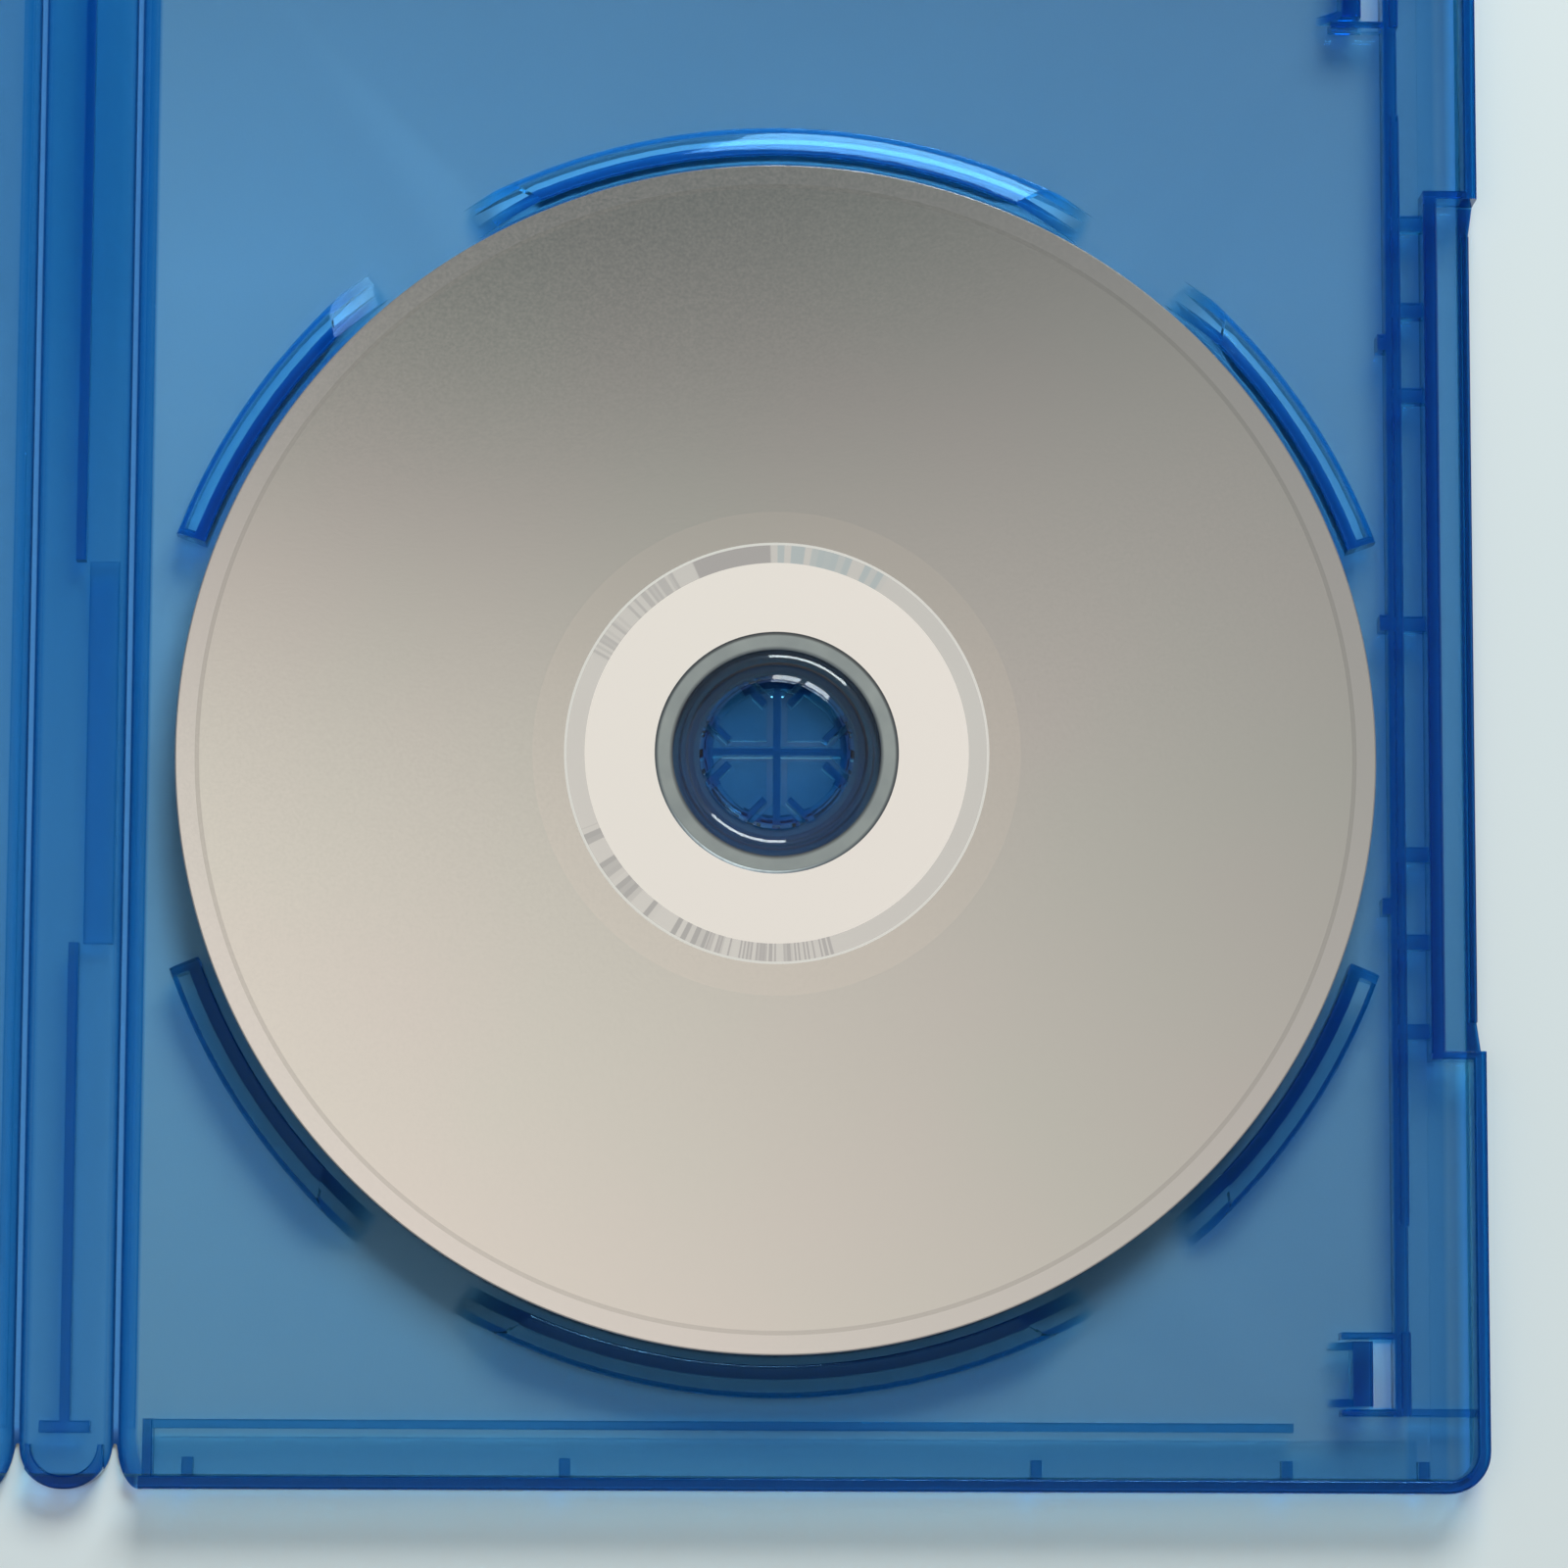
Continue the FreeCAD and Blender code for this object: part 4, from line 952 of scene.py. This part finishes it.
band_colour = band.mix(band.drift(40.0), *BAND_TONES)
band_colour = band.mix(band.within(from_top, *DARK_BLOCK), band_colour, DARK_TONE)
for turn, per_radian, start, stop, tone in (
    (from_top, 30.0, -2, 32, (0.62, 0.66, 0.66)),
    (from_top, 70.0, -62, -30, (0.66, 0.62, 0.59)),
    (from_bottom, 110.0, -16, 20, (0.60, 0.56, 0.54)),
    (from_bottom, 38.0, 20, 68, (0.56, 0.53, 0.51)),
):
    band_colour = band.mix(bars(turn, per_radian, start, stop), band_colour, tone)
band.wire(band_colour, band_shader.inputs["Base Color"])
print("band", len(band.tree.nodes), "nodes")

# %% [markdown]
# ### Step, clear middle and label side
# Inside the white ring is a moulded step, which is grey because it is clear plastic over the
# metal's edge. Its edges are painted nearly black, as painted shade. Then comes the clear
# plastic that the hub grips, with a raised bead that glints.
# Clear and bead are the same glass-like shader, but the clear part's gloss is toned down, so
# that the hub shows through. The label side has one plain dark field.

# %% Step, clear plastic and label
STEP_EDGE_SHADE, STEP_TONES = (0.07, 0.08, 0.09), ((0.29, 0.315, 0.31), (0.35, 0.375, 0.36))
STEP_FLAT = (10.62 * MM, 11.95 * MM, 0.16 * MM)
LABEL_GROUND, LABEL_INK = (0.70, 0.71, 0.72), (0.03, 0.10, 0.15)
step_ring = Finish("disc_step")
step_shader = step_ring.shader(Metallic=0.35, IOR=1.58)
# Painted shade on the step's edges, grey tones on its flat.
on_flat = step_ring.within(step_ring.distance(DISC_AXIS), *STEP_FLAT)
step_tone = step_ring.mix(step_ring.drift(300.0), *STEP_TONES)
step_ring.wire(step_ring.mix(on_flat, STEP_EDGE_SHADE, step_tone), step_shader.inputs["Base Color"])
step_ring.roughen(step_shader, step_ring.noise(1500.0), 0.34, 0.44)


def clear_plastic(name, low, high, **values):
    """Clear polycarbonate with a roughness between two values."""
    finish = Finish(name)
    shader = finish.shader(Base_Color=(1, 1, 1, 1), IOR=1.58, Transmission_Weight=1.0, **values)
    finish.roughen(shader, finish.noise(400.0), low, high)
    finish.let_lamps_through(shader, 0.85)
    return finish


clear = clear_plastic("disc_clear", 0.02, 0.05, Specular_Tint=(0.30, 0.42, 0.60, 1))
bead = clear_plastic("disc_bead", 0.04, 0.09)
label = Finish("disc_label")
label_shader = label.shader(IOR=1.5)
label_field = label.within(label.axes(DISC_AXIS)[1], -60 * MM, -18 * MM, EDGE_SOFT)
label_colour = label.mix(label_field, LABEL_GROUND, LABEL_INK)
label.wire(label_colour, label_shader.inputs["Base Color"])
label.roughen(label_shader, label.noise(2600.0, 2.0), 0.36, 0.46)
print("step, clear, bead and label ready")

# %% [markdown]
# ### Turning the disc
# A plain cylinder has no rings. The disc is turned like a part on a lathe instead: a circle at
# the hole is drawn out, ring by ring, over the top, down the edge, back under and into the hole
# again. Each ring of faces gets the finish that stands beside it in the list.

# %% Profile of the disc
DISC_SEGMENTS = 360
DISC_CRISP = math.radians(5)
TOP, BOTTOM = disc_high.z / MM, disc_low.z / MM
MIDDLE_TOP, STEP_TOP, SEAT = TOP - 0.1, TOP - 0.12, BOTTOM + 0.02
HOLE_R, HOLE_TOP, HOLE_FOOT = 7.5, MIDDLE_TOP - 0.1, BOTTOM + 0.1
DISC_FINISHES = [
    *(clear, bead, step_ring, white_ink, band, bright_line),
    *(mirror_start, mirror, edge_line, edge_ring, label),
]
# Radius and height in millimetres, and the finish of the ring that ends there.
DISC_RINGS = [
    (7.6, MIDDLE_TOP, clear),
    (8.85, MIDDLE_TOP, clear),
    (9.1, TOP, bead),
    (9.6, TOP, clear),
    (9.85, MIDDLE_TOP, bead),
    (10.4, MIDDLE_TOP, clear),
    (10.6, STEP_TOP, step_ring),
    (11.9, STEP_TOP, step_ring),
    (12.2, TOP, step_ring),
    (19.2, TOP, white_ink),
    (21.0, TOP, band),
    (21.25, TOP, bright_line),
    (24.4, TOP, mirror_start),
    (57.6, TOP, mirror),
    (58.05, TOP, edge_line),
    (59.88, TOP, edge_ring),
    (60.0, TOP - 0.07, edge_ring),
    (60.0, BOTTOM + 0.1, edge_ring),
    (59.9, BOTTOM, edge_ring),
    (58.5, BOTTOM, edge_ring),
    (11.0, SEAT, label),
    (7.6, SEAT, clear),
    (HOLE_R, HOLE_FOOT, clear),
    (HOLE_R, HOLE_TOP, clear),
]
print("disc", round(TOP - BOTTOM, 2), "mm thick,", len(DISC_RINGS), "rings")

# %% [markdown]
# Extrude adds a ring of faces and moves its new edge up or down, and a resize about the disc's
# middle takes that edge to its radius. The last ring ends where the first began, so merging the
# doubles closes the shape, and then its faces are turned outwards.

# %% Disc turned ring by ring
bpy.ops.object.select_all(action="DESELECT")
hole_place = (DISC_MIDDLE.x, DISC_MIDDLE.y, HOLE_TOP * MM)
bpy.ops.mesh.primitive_circle_add(
    vertices=DISC_SEGMENTS, radius=HOLE_R * MM, location=hole_place
)
disc = new_piece("silver_disc")
done(disc)
dress(disc, *DISC_FINISHES)
edit(disc, "EDGE")
bpy.ops.mesh.select_all(action="SELECT")
radius_now, height_now = HOLE_R, HOLE_TOP
for radius, height, finish in DISC_RINGS:
    rise = (0, 0, (height - height_now) * MM)
    bpy.ops.mesh.extrude_region_move(TRANSFORM_OT_translate={"value": rise})
    grow = radius / radius_now
    bpy.ops.transform.resize(value=(grow, grow, 1), center_override=DISC_MIDDLE)
    disc_mesh = bmesh.from_edit_mesh(disc.data)
    for edge in disc_mesh.edges:
        if edge.select:
            for face in edge.link_faces:
                face.material_index = DISC_FINISHES.index(finish)
    radius_now, height_now = radius, height
bpy.ops.mesh.select_all(action="SELECT")
bpy.ops.mesh.remove_doubles(threshold=2 * SAME_PLACE)
bpy.ops.mesh.normals_make_consistent(inside=False)
take(disc)
bpy.ops.object.shade_smooth_by_angle(angle=DISC_CRISP)
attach(disc, "tray")
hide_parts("disc")
print("disc", len(disc.data.polygons), "faces", [round(d / MM, 2) for d in disc.dimensions], "mm")
